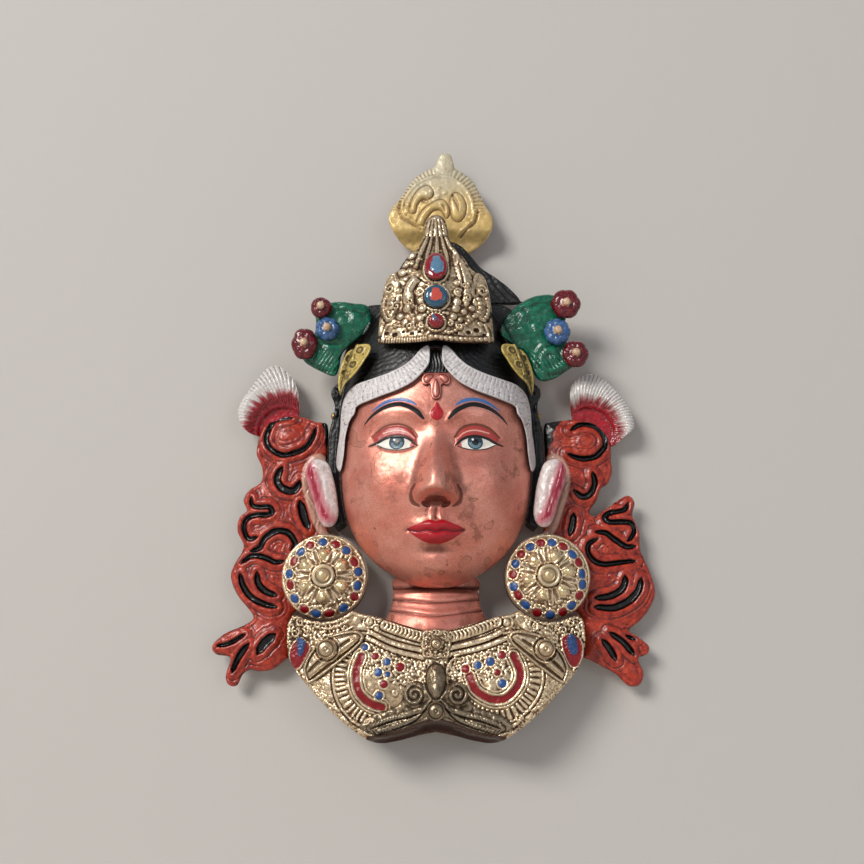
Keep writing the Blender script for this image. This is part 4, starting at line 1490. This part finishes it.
def build_earring(sign, label, material):
    cx, cz = sign * EARRING_X, EARRING_Z

    def depth(x, z):
        ratio = np.clip(np.hypot(x - cx, z - cz) / EARRING_R, 0, 1)
        return 15.5 + 6.5 * np.sqrt(np.clip(1 - ratio ** 2.2, 0, 1))

    r = Relief(circle(cx, cz, EARRING_R, 160), depth, 0.3, holes=[circle(cx, cz, EARRING_HOLE, 24)])
    reach = np.hypot(r.x - cx, r.z - cz)
    # The ring of beads hangs a little low, so the plain border is widest at the top.
    low = 0.5 - 0.5 * (r.z - cz) / np.maximum(reach, 1)
    row = 15.4 + 2.0 * low * low
    granules(r, 1.5, 0.55, smooth_step(reach, 11.4, 12.4) * smooth_step(row + 2.2 - reach, -0.3, 0.3), 60)
    turn = math.radians(30 if sign < 0 else 12)
    for k in range(6):
        a = turn + k * math.pi / 3
        x, z = cx + 9.4 * math.cos(a), cz + 9.4 * math.sin(a)
        r.boss(x, z, 3.8, 1.7, rz=3.4, turn=math.degrees(a), power=0.8, paint="ochre", grow=-1.1)
        r.boss(x + 0.9 * math.cos(a), z + 0.9 * math.sin(a), 1.7, 0.6, power=0.6)
        b = a + math.pi / 6
        # A double petal with rounded ends, darkened inside.
        for off in (-1.35, 1.35):
            ox, oz = -off * math.sin(b), off * math.cos(b)
            inner = (cx + 6.4 * math.cos(b) + 0.8 * ox, cz + 6.4 * math.sin(b) + 0.8 * oz)
            outer = (cx + 12.2 * math.cos(b) + 1.2 * ox, cz + 12.2 * math.sin(b) + 1.2 * oz)
            r.stroke([inner, outer], 1.5, 0.9, power=0.5)
            r.stroke([inner, outer], 0.95, -0.6, power=0.8, paint="grey", grow=-0.1)
    r.h += 0.5 * crest(reach, 0.6, at=6.2)
    for k in range(10):
        a = 2 * math.pi * k / 10 + 0.2
        r.boss(cx + 6.3 * math.cos(a), cz + 6.3 * math.sin(a), 0.9, 0.5, power=0.6)
    r.h += 0.6 * crest(reach, 0.7, at=19.2) ** 0.7
    count = 17 if sign < 0 else 19
    for k in range(count):
        jitter = float(speckle(k * 3.0, 7.0 * sign, 1, 63)) - 0.5
        a = 2 * math.pi * (k + 0.3 + 0.25 * jitter) / count
        away = 15.4 + 2.0 * (0.5 - 0.5 * math.sin(a)) ** 2 + 0.7 * jitter
        gem(r, cx + away * math.cos(a), cz + away * math.sin(a), 1.75 + 0.3 * jitter,
            "red" if k % 2 else "blue", 2.15 - 0.5 * jitter, math.degrees(a))
        c = a + math.pi / count
        r.boss(cx + away * math.cos(c), cz + away * math.sin(c), 0.75, 0.7, power=0.6)
    # A bright rolled lip on the side next to the neck.
    lip = arc(cx, cz, 18.9, 120 if sign < 0 else 60, -60 if sign < 0 else 240, 0.5)
    r.stroke(lip, 1.0, 0.6, power=0.6, taper=0.5)
    r.grain(2.2, 0.45, 60)
    r.grain(0.8, 0.16, 61)
    r.build(f"earring_{label}", "gilding", material, rim=level(EARRING_RIM), soften=16)
    tail = WING_DEPTH - 2.8
    profile = [(0, tail), (2.2, tail), (2.2, tail + 0.9), (1.3, tail + 0.9), (1.3, 22.55), (5.1, 22.55)]
    profile += curve_profile((5.2, 22.8), (5.2, 24.2), (4.7, 24.9), (4.1, 24.9), (3.6, 24.3), (3.1, 24.2),
                             (2.7, 24.9), (2.1, 26.0), (1.1, 26.55), (0, 26.6))
    g = Graph(f"earring_stud_gilt_{label}")
    radius_at = g.attribute("radius")
    groove = g.step(g.math("ABSOLUTE", g.math("SUBTRACT", radius_at, 3.3)), 0.5, 0.1)
    colour = g.mix(g.noise(1.4, 4, 0.65), rgb(208, 188, 156), rgb(238, 222, 194))
    colour = g.tint(colour, groove, 0.75, rgb(72, 56, 40))
    colour = g.mix(g.math("MULTIPLY", g.step(radius_at, 2.6, 1.6), 0.45), colour, rgb(206, 172, 96))
    stud = g.finish((colour, g.blend(g.noise(1, 3), 0.28, 0.42), 0.8, g.noise(0.6, 3)), relief=0.05)
    turned(f"earring_stud_{label}", "gilding", stud, profile, (cx, 0, cz), plain_fields("bare"), steps=56)


RED_ARCS = (((-33.1, -107.9), (-35.1, -113), (-35.2, -118.5), (-33.5, -123.9), (-29, -128), (-23.8, -129.8)),
            ((14.8, -116.2), (17.5, -122.3), (24.3, -126.2), (30.9, -125.6), (36.2, -119.9), (37.1, -114),
             (34.5, -107.4)))
GEMS = [("red", -26.9, -107.7, 1.6), ("blue", -21.8, -110.1, 1.7), ("red", -15.9, -112.4, 1.9),
        ("blue", -25.5, -114.7, 1.8), ("blue", -21.3, -115.6, 1.2), ("red", -22.9, -119.8, 1.7),
        ("blue", -25.0, -124.8, 1.7), ("blue", -31.7, -103.7, 1.5), ("red", 13.1, -113.2, 1.8),
        ("blue", 18.5, -111.6, 1.7), ("blue", 24.1, -110.0, 1.9), ("red", 29.3, -107.1, 1.8),
        ("red", 27.1, -114.8, 1.4), ("blue", 29.2, -119.5, 1.9)]


def build_breastplate(material):
    round_earring = arc(EARRING_X, EARRING_Z, EARRING_R + 1.0, 229, 300, 0.7)
    top = spline([(0, -96.6), (7, -95.8), (14, -94), (22, -91.6), (28.6, -90), (34, -88.9)], 0.9)
    outer = spline([(64.8, -89.4), (66.9, -92.6), (67.3, -100), (66.2, -107.6), (62.6, -114.4),
                    (56.5, -121.4), (46, -132), (35.5, -140.3), (26.5, -145.2), (17.5, -144.6),
                    (8, -142.2), (0, -140.6)], 0.9)
    studs = (ARMLET_X, ARMLET_Z), (-ARMLET_X, ARMLET_Z), (0, CLASP_Z), (0, PENDANT_Z)
    holes = [circle(x, z, STUD_HOLE, 20) for x, z in studs]
    r = Relief(both_halves(np.concatenate([top, round_earring, outer])), breastplate, 0.36, holes=holes)
    ax = np.abs(r.x)
    arcs = [spline(points, 0.5) for points in RED_ARCS]
    traces = [r.trace(line, 12) for line in arcs]
    d = np.minimum(traces[0][0], traces[1][0])
    # Granulated ground between the collar and the arcs, and on the shoulders.
    collar = spline([(-34, -96.8), (-27, -100.0), (-19.1, -104.8), (-8, -108.0), (0, -109), (8.2, -107.4),
                     (20.2, -104.4), (30.5, -100.2), (36, -97.2)])
    under, _, hand = r.trace(collar, 14)
    below = smooth_step(under * -hand, 0.3, 1.2)
    field = below * smooth_step(d, 1.9, 2.4) * smooth_step(-ax, -34, -31) * smooth_step(r.z, -131, -128)
    shoulder = smooth_step(ax, 38, 42) * smooth_step(r.z, -112, -100)
    low = smooth_step(-r.z, 112, 116) * smooth_step(d, 10.9, 11.6)
    granules(r, 1.3, 0.5, np.clip(field + shoulder, 0, 1), 70)
    granules(r, 0.9, 0.24, np.clip(low * (1 - field), 0, 1), 74)
    # The collar: a rope row above a plain double band.
    for rope, bands in (([(-22.6, -94.2), (-14.0, -97.2), (-5.6, -99.6)],
                         [[(-29.6, -97.2), (-19.1, -102.0), (-5.6, -105.4)],
                          [(-30.4, -99.6), (-19.1, -104.9), (-5.8, -108.2)]]),
                        ([(5.6, -99.6), (16.8, -96.6), (27.2, -92.6)],
                         [[(5.6, -104.4), (20.2, -100.8), (29.6, -96.8)],
                          [(5.8, -107.2), (20.2, -103.9), (31.4, -99.8)]])):
        line = spline(rope)
        d, along, _ = r.trace(line, 5)
        r.h += crest(d, 2.3) ** 0.5
        r.h -= 0.85 * crest(d, 2.4) * beat(along + 0.35 * d, 1.75) ** 1.6
        r.h -= 0.6 * crest(d, 0.4, at=2.7)
        for band in bands:
            line = spline(band)
            r.stroke(line, 1.25, 0.85, power=0.6)
            r.stroke(line + (0, 1.5), 0.45, -0.5)
            r.stroke(line - (0, 1.5), 0.45, -0.5)
    # Trefoils of ringed studs close the collar's ends.
    for x, z, radius in ((-29.8, -92.6, 2.5), (-25.4, -92.0, 1.9), (-26.6, -96.0, 1.9), (31.6, -92.9, 2.6),
                         (27.0, -92.6, 2.0), (28.4, -97.2, 1.9), (33.4, -96.8, 1.8), (-5.4, -98.2, 1.3),
                         (-5.4, -106.6, 1.3), (5.6, -98.2, 1.3), (5.6, -106.4, 1.3)):
        r.boss(x, z, radius + 0.5, 0.7, power=0.3)
        r.boss(x, z, radius, -0.55, power=0.3)
        r.boss(x, z, radius * 0.66, 0.7, power=0.45)
        r.boss(x, z, 0.5, -0.4, power=0.6)
    # Red crescents in raised outlines, with a ribbed fringe outside them.
    for line, (t, along, which) in zip(arcs, traces):
        r.h += 0.75 * crest(t, 0.5, at=2.2)
        r.h += 0.5 * crest(t, 0.45, at=3.5)
        r.h -= 0.35 * crest(t, 1.7)
        r.paint("red", 1.45 - t + 0.25 * (speckle(r.x, r.z, 1.5, 5) - 0.5))
        outside = which < 0
        fringe = outside * smooth_step(t, 4.4, 5.0) * smooth_step(-t, -9.6, -9.0)
        r.h += fringe * 0.55
        r.h -= 0.8 * fringe * beat(along, 1.5) ** 1.4
        r.h += 0.7 * crest(t, 0.55, at=10.3) * outside
        r.h -= 0.4 * crest(t, 0.5, at=11.3) * outside
    for colour, x, z, radius in GEMS:
        gem(r, x, z, radius, colour)
    # Shoulders: curls and ringed studs, with a painted leaf at each outer edge.
    for x, z, radius, way, start in ((-61.2, -92.6, 2.0, 1, 90), (-63.6, -97.2, 2.2, -1, 60),
                                     (-58.2, -95.8, 1.8, 1, 0), (-53.6, -93.8, 1.9, -1, 120),
                                     (60.6, -92.8, 2.0, -1, 90), (63.0, -97.6, 2.4, 1, 120),
                                     (57.4, -96.2, 2.0, -1, 200), (-63.0, -116.4, 2.2, 1, 0),
                                     (63.6, -113.8, 2.0, -1, 180)):
        r.curl(x, z, radius, way * 1.15, start, 0.6, 0.95, hole=0.5)
    for line in ([(-38.4, -91.6), (-45.6, -95.0), (-50.4, -95.6)], [(-36.6, -94.4), (-43, -97.6),
                                                                    (-49, -98.4)]):
        r.stroke(spline(line), 0.8, 0.8, power=0.7, taper=0.5)
    for loop in ([(36.4, -90.0), (41.2, -90.6), (46.0, -94.2), (44.4, -96.6), (40.6, -96.4), (37.2, -93.4)],
                 [(45.4, -94.2), (49.6, -95.2), (54.2, -98.6), (54.4, -101.4), (51.4, -101.2),
                  (46.4, -97.8)]):
        loop = spline(loop, 0.5, closed=True)
        r.area(loop, 0.7, 0.6)
        r.stroke(loop, 0.5, 0.5, power=0.6, closed=True)
    for sign, loop, heart in ((-1, [(-61.4, -99.6), (-65.4, -104), (-65.4, -110), (-62.6, -113.6),
                                    (-59.4, -110.4), (-56.6, -104.6), (-57.0, -102.2)],
                                    [(-62.4, -99.4), (-58.6, -101), (-59.4, -106),
                                                                       (-61.6, -107.6)]),
                              (1, [(56.6, -99.4), (57.0, -105.4), (59.6, -111.2), (62.8, -112.4),
                                   (65.6, -107.4), (65.4, -101), (61, -97.8)], [(60.6, -97.4),
                                                                                (58.6, -101.2), (60.6,
                                                                                                 -106.6),
                                                                (63.4, -106.2), (63.2, -100.4)])):
        loop = spline(loop, 0.5, closed=True)
        r.area(loop, 0.6, 0.7, paint="red", grow=-0.25)
        r.stroke(loop, 0.6, 0.6, power=0.6, closed=True)
        heart = spline(heart, 0.5, closed=True)
        r.area(heart, 0.8, 0.8, paint="leafblue", grow=-0.1)
        r.beads(heart, 1.2, 0.42, 0.5, closed=True)
    # Scrolling sprays run out along the lower edge below the pendant.
    for sign in (-1, 1):
        for line, width, rise in (([(20, -136.6), (27.5, -138.2), (33.4, -137.6), (38.4, -134)], 1.2, 0.9),
                                  ([(8, -139), (16, -141.6), (24.6, -142.6), (31.4, -140.6)], 1.0, 0.9),
                                  ([(37.8, -131.6), (43.4, -130.6), (48.6, -127.4)], 0.7, 0.5)):
            r.stroke(spline(line) * (sign, 1), width, rise, power=0.7, taper=0.6)
        r.curl(sign * 36.4, -134.6, 1.9, sign * 1.1, 0, 0.6, 0.8, hole=0.5)
        r.beads(spline([(13.6, -129.8), (11.4, -127.0)]) * (sign, 1), 1.8, 0.9, 0.7)
    r.boss(-17.9, -123.7, 1.4, 0.7, power=0.35)
    r.boss(-17.9, -123.7, 0.8, -0.4, power=0.6)
    r.h += 0.4 * crest(r.rim_edge, 0.8, at=0.9) * (r.z > -100)
    # Below the pendant the sheet turns down to the wall, brown and unpolished.
    hem = np.interp(ax, [0, 5, 13.5, 22, 28, 33], [-134.4, -135.4, -138.4, -140.6, -142.2, -143.0])
    r.paint("shadow", np.minimum(hem + 0.6 - r.z, 31.0 - ax))
    r.grain(4.0, 0.7, 75)
    r.grain(2.2, 0.45, 76)
    r.grain(1.0, 0.22, 77)
    r.h -= 7.0 * smooth_step(hem - r.z, 0, 4.5) * smooth_step(-ax, -33, -27)

    def rim(x, z):
        return np.where((z > -101) & (np.abs(x) < 66.4), np.nan, 0.0)

    r.build("breastplate", "gilding", material, rim=rim, soften=14, wobble=-0.5)


def build_armlet(sign, label, material):
    outline = [(32.4, -98.4), (36.6, -96.2), (46.6, -98.2), (51.6, -101.0), (56.6, -106.4), (59.4, -112.6),
               (58.4, -117.0), (56.4, -119.6), (50.6, -116.2), (41, -109.0), (33.4, -102.0)]
    r = Relief(side(spline(outline, 0.6, closed=True), sign), laid_on(breastplate, 1.4), 0.3,
               holes=[circle(sign * ARMLET_X, ARMLET_Z, STUD_HOLE, 20)], pillow=(1.4, 2.5))
    r.h += 0.5 * crest(r.edge, 0.6, at=0.7)
    r.h -= 0.6 * crest(r.edge, 0.45, at=1.6)
    for line, width, rise in (([(34.0, -101.0), (41.4, -107.0), (49.4, -112.8), (56.2, -118.0)], 0.9, -1.0),
                              ([(35.0, -99.6), (42.4, -105.0), (50.0, -110.6), (56.8, -116.2)], 0.8, 0.8),
                              ([(38.4, -100.4), (43.6, -103.8)], 0.8, -1.0),
                              ([(50.4, -108.6), (54.0, -111.6), (57.0, -114.6)], 0.9, -1.1),
                              ([(36.6, -98.0), (42.4, -99.4), (45.0, -100.2)], 0.5, -0.6),
                              ([(53.4, -104.4), (56.2, -108.4), (57.8, -112.8)], 0.6, -0.7)):
        r.stroke(spline(line) * (sign, 1), width, rise, power=0.9, taper=0.6)
    distance = np.hypot(r.x - sign * ARMLET_X, r.z - ARMLET_Z)
    r.h -= 0.7 * crest(distance, 0.6, at=4.9)
    r.h += 0.5 * crest(distance, 0.5, at=5.9)
    r.grain(1.6, 0.25, 81)
    r.build(f"armlet_{label}", "gilding", material, thickness=1.1, roll=0.6, soften=8)
    ring_stud(f"armlet_stud_{label}", sign * ARMLET_X, ARMLET_Z, 4.2, 8.4, 3.9, 2.2, material)


def ring_stud(name, x, z, radius, length, above, rise, material):
    """A round stud with a raised rim, a shallow dish and a dot, seated above the breastplate."""
    seat = float(breastplate(abs(x), z)) + 0.8 + above
    tail, peen = seat - length, STUD_SHANK + 0.9
    profile = [(0, tail), (peen, tail), (peen, tail + 0.9), (STUD_SHANK, tail + 0.9),
               (STUD_SHANK, seat - 0.3), (radius * 0.97, seat - 0.3)]
    profile += curve_profile((radius, seat), (radius, seat + 0.5 * rise), (radius * 0.9, seat + 0.74 * rise),
                             (radius * 0.78, seat + 0.62 * rise), (radius * 0.62, seat + 0.8 * rise),
                             (radius * 0.34, seat + 0.97 * rise), (radius * 0.2, seat + 0.86 * rise),
                             (radius * 0.1, seat + rise), (0, seat + rise))

    def cavity(angle, r, height):
        dish, dot = np.abs(r - radius * 0.78) < 0.3, np.abs(r - radius * 0.2) < 0.1
        return 0.3 * dish + 0.25 * dot + 0.35 * (height < seat + 0.1)

    fields = plain_fields("bare", "wall") + [("cavity", cavity)] + plain_fields("hollow")
    turned(name, "gilding", material, profile, (x, 0, z), fields)


def build_clasp(material):
    a = 2 * math.pi * np.arange(160) / 160
    radius = 7.2 * (1 + 0.08 * np.cos(4 * a + math.pi)) * (1 + 0.04 * np.cos(8 * a))
    outline = np.stack([radius * np.cos(a), CLASP_Z + radius * np.sin(a)], 1)
    r = Relief(outline, laid_on(breastplate, 1.4), 0.28, holes=[circle(0, CLASP_Z, STUD_HOLE, 20)],
               pillow=(1.2, 2.0))
    granules(r, 1.2, 0.7, smooth_step(r.edge, 1.2, 1.6), 84)
    r.h += 0.6 * crest(r.edge, 0.6, at=0.7)
    for k in range(8):
        t = math.pi / 8 + k * math.pi / 4
        r.boss(5.1 * math.cos(t), CLASP_Z + 5.1 * math.sin(t), 1.15, 0.8, power=0.55)
    r.grain(0.8, 0.15, 85)
    r.build("clasp", "gilding", material, thickness=1.1, roll=0.6, soften=8)
    ring_stud("clasp_stud", 0, CLASP_Z, 2.7, 8.0, 3.5, 1.8, material)


def build_pendant(material):
    half = [(0, -110.4), (3, -111.4), (4.6, -115), (5, -119.4), (9, -118.4), (13.4, -121), (14.6, -126),
            (18, -129.6), (24, -131.6), (31, -134.4), (33.6, -138.4), (27, -141.4), (20, -140.4),
            (13.5, -138.4), (9, -136.6), (5, -135.4), (0, -135.0)]
    r = Relief(both_halves(spline(half, 0.6)), laid_on(breastplate, 1.4), 0.32,
               holes=[circle(0, PENDANT_Z, STUD_HOLE, 20)], pillow=(2.4, 2.8))
    drop_half = [(0, -111.2), (2.4, -112.2), (3.9, -115.4), (4.3, -118.8), (3.2, -122.4), (1.4, -125.2)]
    drop = spline(drop_half + [(0, -126)] + [(-x, z) for x, z in drop_half[:0:-1]], 0.4, closed=True)
    r.area(drop, 2.0, 1.9)
    d = r.trace(drop, 4, closed=True)[0]
    outside = r.inside(drop, 6) < 0
    r.h += 0.55 * crest(d, 0.5, at=1.1) * outside
    r.h -= 0.5 * crest(d, 0.4, at=0.35) * outside
    for sign in (-1, 1):
        r.boss(sign * 9.4, -124.4, 5.6, 1.0, power=0.6)
        r.curl(sign * 9.3, -124.2, 4.7, -sign * 1.7, 90, 0.85, 1.2)
        r.boss(sign * 9.4, -124.2, 1.0, 0.6, power=0.6)
        for line, width, rise in (
                ([(2.2, -126.6), (6.4, -130.4), (12.6, -132.6), (20, -134.4), (28.6, -137.6)], 1.3, 1.1),
                ([(4.8, -129.8), (9.6, -134.4), (16.4, -137.2), (25.4, -139.8)], 1.0, 1.0),
                ([(3.6, -134.4), (8.6, -137), (14.8, -139)], 0.9, 0.8)):
            r.stroke(spline(line) * (sign, 1), width, rise, power=0.7, taper=0.6)
            r.stroke((spline(line) - (0, 1.5)) * (sign, 1), 0.5, -0.8, taper=0.6)
        leaf_line = spline([(14.4, -134.6), (21.4, -137.6), (29.0, -138.8)]) * (sign, 1)
        d, along, _ = r.trace(leaf_line, 3.4)
        fringe = smooth_step(-d, -3.2, -2.4) * smooth_step(d, 0.5, 0.9)
        r.h -= 0.55 * fringe * beat(along + 0.8 * d, 1.5) ** 1.5
        r.curl(sign * 20.6, -139.2, 1.5, sign, 200, 0.5, 0.8)
    r.grain(3.2, 0.7, 90)
    r.grain(1.6, 0.5, 91)
    r.grain(0.8, 0.25, 92)
    r.build("pendant", "gilding", material, thickness=1.1, soften=10)
    ring_stud("pendant_stud", 0, PENDANT_Z, 4.0, 10.2, 5.0, 2.6, material)


def build_forehead_pendant():
    half = [(0, 17.4), (1.5, 18.0), (3.6, 18.2), (5.7, 17.4), (6.6, 15.4), (6.3, 13.2), (4.8, 12.2),
            (3.2, 12.8), (2.5, 12.0), (2.4, 9.0), (2.1, 6.8), (1.2, 5.6), (0, 5.3)]
    r = Relief(both_halves(spline(half, 0.5)), laid_on(face, 1.2), 0.26, pillow=(0.5, 1.5))
    petals = [spline([(1.2, 16.8), (3.6, 17.2), (5.4, 15.8), (5.2, 13.8), (3.8, 13.4), (2.4, 14.8)], 0.3,
                     closed=True) * (sign, 1) for sign in (-1, 1)]
    petals.append(spline([(0, 14.8), (1.2, 12), (1.5, 8.6), (0.8, 6.6), (0, 6.3), (-0.8, 6.6), (-1.5, 8.6),
                          (-1.2, 12)], 0.3, closed=True))
    for petal in petals:
        r.area(petal, 0.8, 0.8)
        r.paint("dark", 0.3 - r.trace(petal, 2, closed=True)[0])
    r.paint("dark", 0.3 - r.edge)
    material = copper("copper_pendant", [("dark", rgb(112, 46, 40), 0.2)], tarnish=0.2, pink=0.75)
    r.build("forehead_pendant", "copper", material, thickness=0.9, roll=0.4, soften=6)


# ---------------------------------------------------------------- back fittings

def build_back(material):
    # These CAD solids have the right shape and only take a finished material.
    for key in ("back_brace", "hanger_brace", "hanger_staple"):
        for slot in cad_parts[key].material_slots:
            slot.material = material
    for sign, label in ((1, "right"), (-1, "left")):
        for kind, x, d, z, grip in (("brace", 46.6, 6.4, 6.3, 5.6), ("hanger", 39.3, 4.8, 44.0, 6.0)):
            rivet(f"{kind}_rivet_{label}", (sign * x, d, z), (sign, 0, 0), grip, 1.9, 1.0, material)
    for k, x in enumerate((-2.8, 2.8)):
        rivet(f"staple_rivet_{k + 1}", (x, 7.1, 45.0), (0, 1, 0), 4.2, 1.6, 0.8, material)
    build_ring(material)


def rivet(name, where, axis, grip, head, shank, material):
    half = grip / 2
    top = dome(head, half, half + 1.2, 6)
    low = [(r, -h) for r, h in top][::-1]
    turned(name, "brass", material, low + [(shank, -half), (shank, half)] + top, where, plain_fields(), axis,
           steps=28)


def build_ring(material):
    """The D-shaped wire ring, its straight side on the hinge axis."""
    corner, half = RING_CORNER, RING_R
    path = [(x, 0.0) for x in np.linspace(-half + corner, half - corner, 12)]
    path += [(half - corner + corner * math.sin(a), -corner + corner * math.cos(a))
             for a in np.radians([18, 36, 54, 72, 90])]
    path += [(half * math.cos(a), -corner - half * math.sin(a)) for a in np.radians(np.arange(8, 173, 8))]
    path += [(-half + corner - corner * math.sin(a), -corner + corner * math.cos(a))
             for a in np.radians([90, 72, 54, 36, 18])]
    p = np.array(path)
    ahead = np.roll(p, -1, axis=0) - np.roll(p, 1, axis=0)
    ahead /= np.linalg.norm(ahead, axis=1)[:, None]
    co, steps = [], 16
    for (x, z), (dx, dz) in zip(p, ahead):
        for k in range(steps):
            a = 2 * math.pi * k / steps
            out, up = RING_WIRE * math.cos(a), RING_WIRE * math.sin(a)
            co.append((x - dz * out, -(RING_DEPTH + up), RING_Z + z + dx * out))
    count = len(p)
    faces = [(i * steps + k, i * steps + (k + 1) % steps, ((i + 1) % count) * steps + (k + 1) % steps,
              ((i + 1) % count) * steps + k) for i in range(count) for k in range(steps)]
    mesh = bpy.data.meshes.new("hanger_ring")
    mesh.from_pydata((np.array(co) * MM).tolist(), [], faces)
    if mesh_is_inverted(mesh):
        mesh.flip_normals()
    mesh.shade_smooth()
    place("hanger_ring", mesh, "brass", material, "hanger")


def mesh_is_inverted(mesh):
    """Whether a closed mesh's faces look inwards."""
    volume = 0.0
    for face_ in mesh.polygons:
        a, b, c = (mesh.vertices[k].co for k in face_.vertices[:3])
        volume += a.dot(b.cross(c))
    return volume < 0


# ---------------------------------------------------------------- stage

def plane(name, corners, material):
    mesh = bpy.data.meshes.new(name)
    mesh.from_pydata(corners, [], [(0, 1, 2, 3)])
    mesh.materials.append(material)
    obj = bpy.data.objects.new(name, mesh)
    bpy.context.scene.collection.objects.link(obj)
    return obj


def stage_material(name, one_sided):
    """Plain pale board; where it is one-sided, a camera behind it sees through it."""
    material = bpy.data.materials.new(name)
    material.use_nodes = True
    tree = material.node_tree
    shader = tree.nodes["Principled BSDF"]
    shader.inputs["Base Color"].default_value = rgb(188, 184, 179)
    shader.inputs["Roughness"].default_value = 0.75
    if one_sided:
        side_of = tree.nodes.new("ShaderNodeNewGeometry")
        clear = tree.nodes.new("ShaderNodeBsdfTransparent")
        mix = tree.nodes.new("ShaderNodeMixShader")
        tree.links.new(side_of.outputs["Backfacing"], mix.inputs[0])
        tree.links.new(shader.outputs[0], mix.inputs[1])
        tree.links.new(clear.outputs[0], mix.inputs[2])
        tree.links.new(mix.outputs[0], tree.nodes["Material Output"].inputs[0])
    return material


def aim(obj, where):
    """Puts a light or camera at a place, turned to the origin."""
    obj.location = where
    obj.rotation_euler = Vector([0.0 - v for v in where]).to_track_quat("-Z", "Y").to_euler()
    bpy.context.scene.collection.objects.link(obj)


def light(name, where, size, power, colour=(1, 1, 1)):
    data = bpy.data.lights.new(name, "AREA")
    data.shape = "RECTANGLE"
    data.size, data.size_y = size
    data.energy = power
    data.color = colour
    aim(bpy.data.objects.new(name, data), where)


def build_stage():
    r = STAGE_REACH
    wall = plane("backdrop", [(-r, WALL_Y, FLOOR_Z), (r, WALL_Y, FLOOR_Z), (r, WALL_Y, r), (-r, WALL_Y, r)],
                 stage_material("backdrop_board", True))
    wall.visible_shadow = False
    plane("floor", [(-r, -r, FLOOR_Z), (r, -r, FLOOR_Z), (r, r, FLOOR_Z), (-r, r, FLOOR_Z)],
          stage_material("floor_board", False))
    world = bpy.data.worlds.new("studio")
    world.use_nodes = True
    sky = world.node_tree.nodes["Background"].inputs
    sky[0].default_value, sky[1].default_value = (0.8, 0.86, 0.96, 1), 0.34
    bpy.context.scene.world = world
    light("key", (-2.1, -2.8, 1.7), (1.5, 1.2), 128, (1.0, 0.97, 0.93))
    light("fill", (1.5, -2.2, 0.4), (1.0, 1.0), 5, (0.93, 0.96, 1.0))
    light("low", (-0.5, -1.6, -1.2), (0.7, 0.5), 6, (1.0, 0.97, 0.94))
    light("rear", (0.2, 0.9, 0.5), (0.7, 0.7), 12)
    camera = bpy.data.cameras.new("camera")
    camera.lens, camera.sensor_width = 47.9, 36.0
    camera.shift_x = -4 / FRAME_PIXELS
    obj = bpy.data.objects.new("camera", camera)
    aim(obj, CAMERA)
    bpy.context.scene.camera = obj
    bpy.context.scene.view_settings.view_transform = "Standard"


def main():
    jewels = [("red", RED), ("blue", BLUE)]
    gilding = gilt("gilding_crown", 0.97)
    discs = gilt("gilding_earring", 1.04, jewels, dirt=0.7,
                 stains=(("ochre", rgb(228, 204, 150), 0.55), ("grey", rgb(128, 112, 98), 0.35)))
    plate = gilt("gilding_breastplate", 1.02, jewels + [("leafblue", rgb(40, 72, 122))],
                 stains=(("shadow", rgb(58, 31, 23), 0.95),))
    clasp = gilt("gilding_clasp", 0.92, dirt=0.8)
    bronze = gilt("gilding_pendant", 0.66, dirt=0.9)
    strap = gilt("gilding_armlet", 0.94, dirt=0.8)
    metal = brass()
    pin_paint = enamel("pin_paint", (rgb(186, 150, 118), rgb(214, 184, 150)), roughness=0.34, gloss=0.15,
                       cavity=rgb(120, 84, 60), walls=rgb(120, 84, 60))
    build_face()
    build_neck()
    build_hair()
    build_crown(gilding)
    build_jewels()
    build_finial()
    green = enamel("green_leaf", (rgb(0, 72, 52), rgb(0, 112, 82)), roughness=0.28, size=3, specks=0.03,
                   gloss=0.2, cavity=rgb(0, 24, 18), walls=rgb(0, 34, 26))
    vermilion = enamel("vermilion_ribbon", (rgb(128, 22, 10), rgb(184, 56, 26)),
                       [("cream", rgb(208, 158, 138), 0.6), ("black", rgb(4, 3, 3), 0.1)], roughness=0.33,
                       size=3, specks=0.35, gloss=0.16, cavity=rgb(54, 6, 5), walls=rgb(84, 16, 10),
                       speck_tint=(236, 146, 110))
    fan = enamel("fan_paint", (rgb(142, 4, 22), rgb(172, 14, 34)),
                 [("white", rgb(212, 206, 202), 2.4), ("line", rgb(118, 100, 96), 0.2)],
                 roughness=0.26, gloss=0.35, cavity=rgb(66, 14, 20), walls=rgb(110, 90, 88), specks=0.12)
    ear = enamel("ear_paint", (rgb(196, 180, 176), rgb(222, 210, 206)),
                 [("pink", rgb(198, 118, 126), 1.6), ("crimson", rgb(158, 26, 54), 0.7)], roughness=0.34,
                 cavity=rgb(140, 84, 84), walls=rgb(150, 80, 76))
    yellow = enamel("temple_paint", (rgb(176, 148, 66), rgb(204, 182, 104)), [("olive", rgb(92, 74, 30))],
                    roughness=0.32, cavity=rgb(82, 62, 26), walls=rgb(84, 62, 30))
    build_breastplate(plate)
    build_clasp(clasp)
    build_pendant(bronze)
    build_forehead_pendant()
    for key in FLOWERS:
        build_flower(key, pin_paint)
    for sign, label in ((1, "right"), (-1, "left")):
        build_hairband(sign, label)
        build_temple_ornament(sign, label, yellow)
        build_leaf(label, green)
        build_wing(label, vermilion)
        build_fan(label, fan)
        build_ear(sign, label, ear)
        build_earring(sign, label, discs)
        build_armlet(sign, label, strap)
    build_back(metal)
    build_stage()


main()
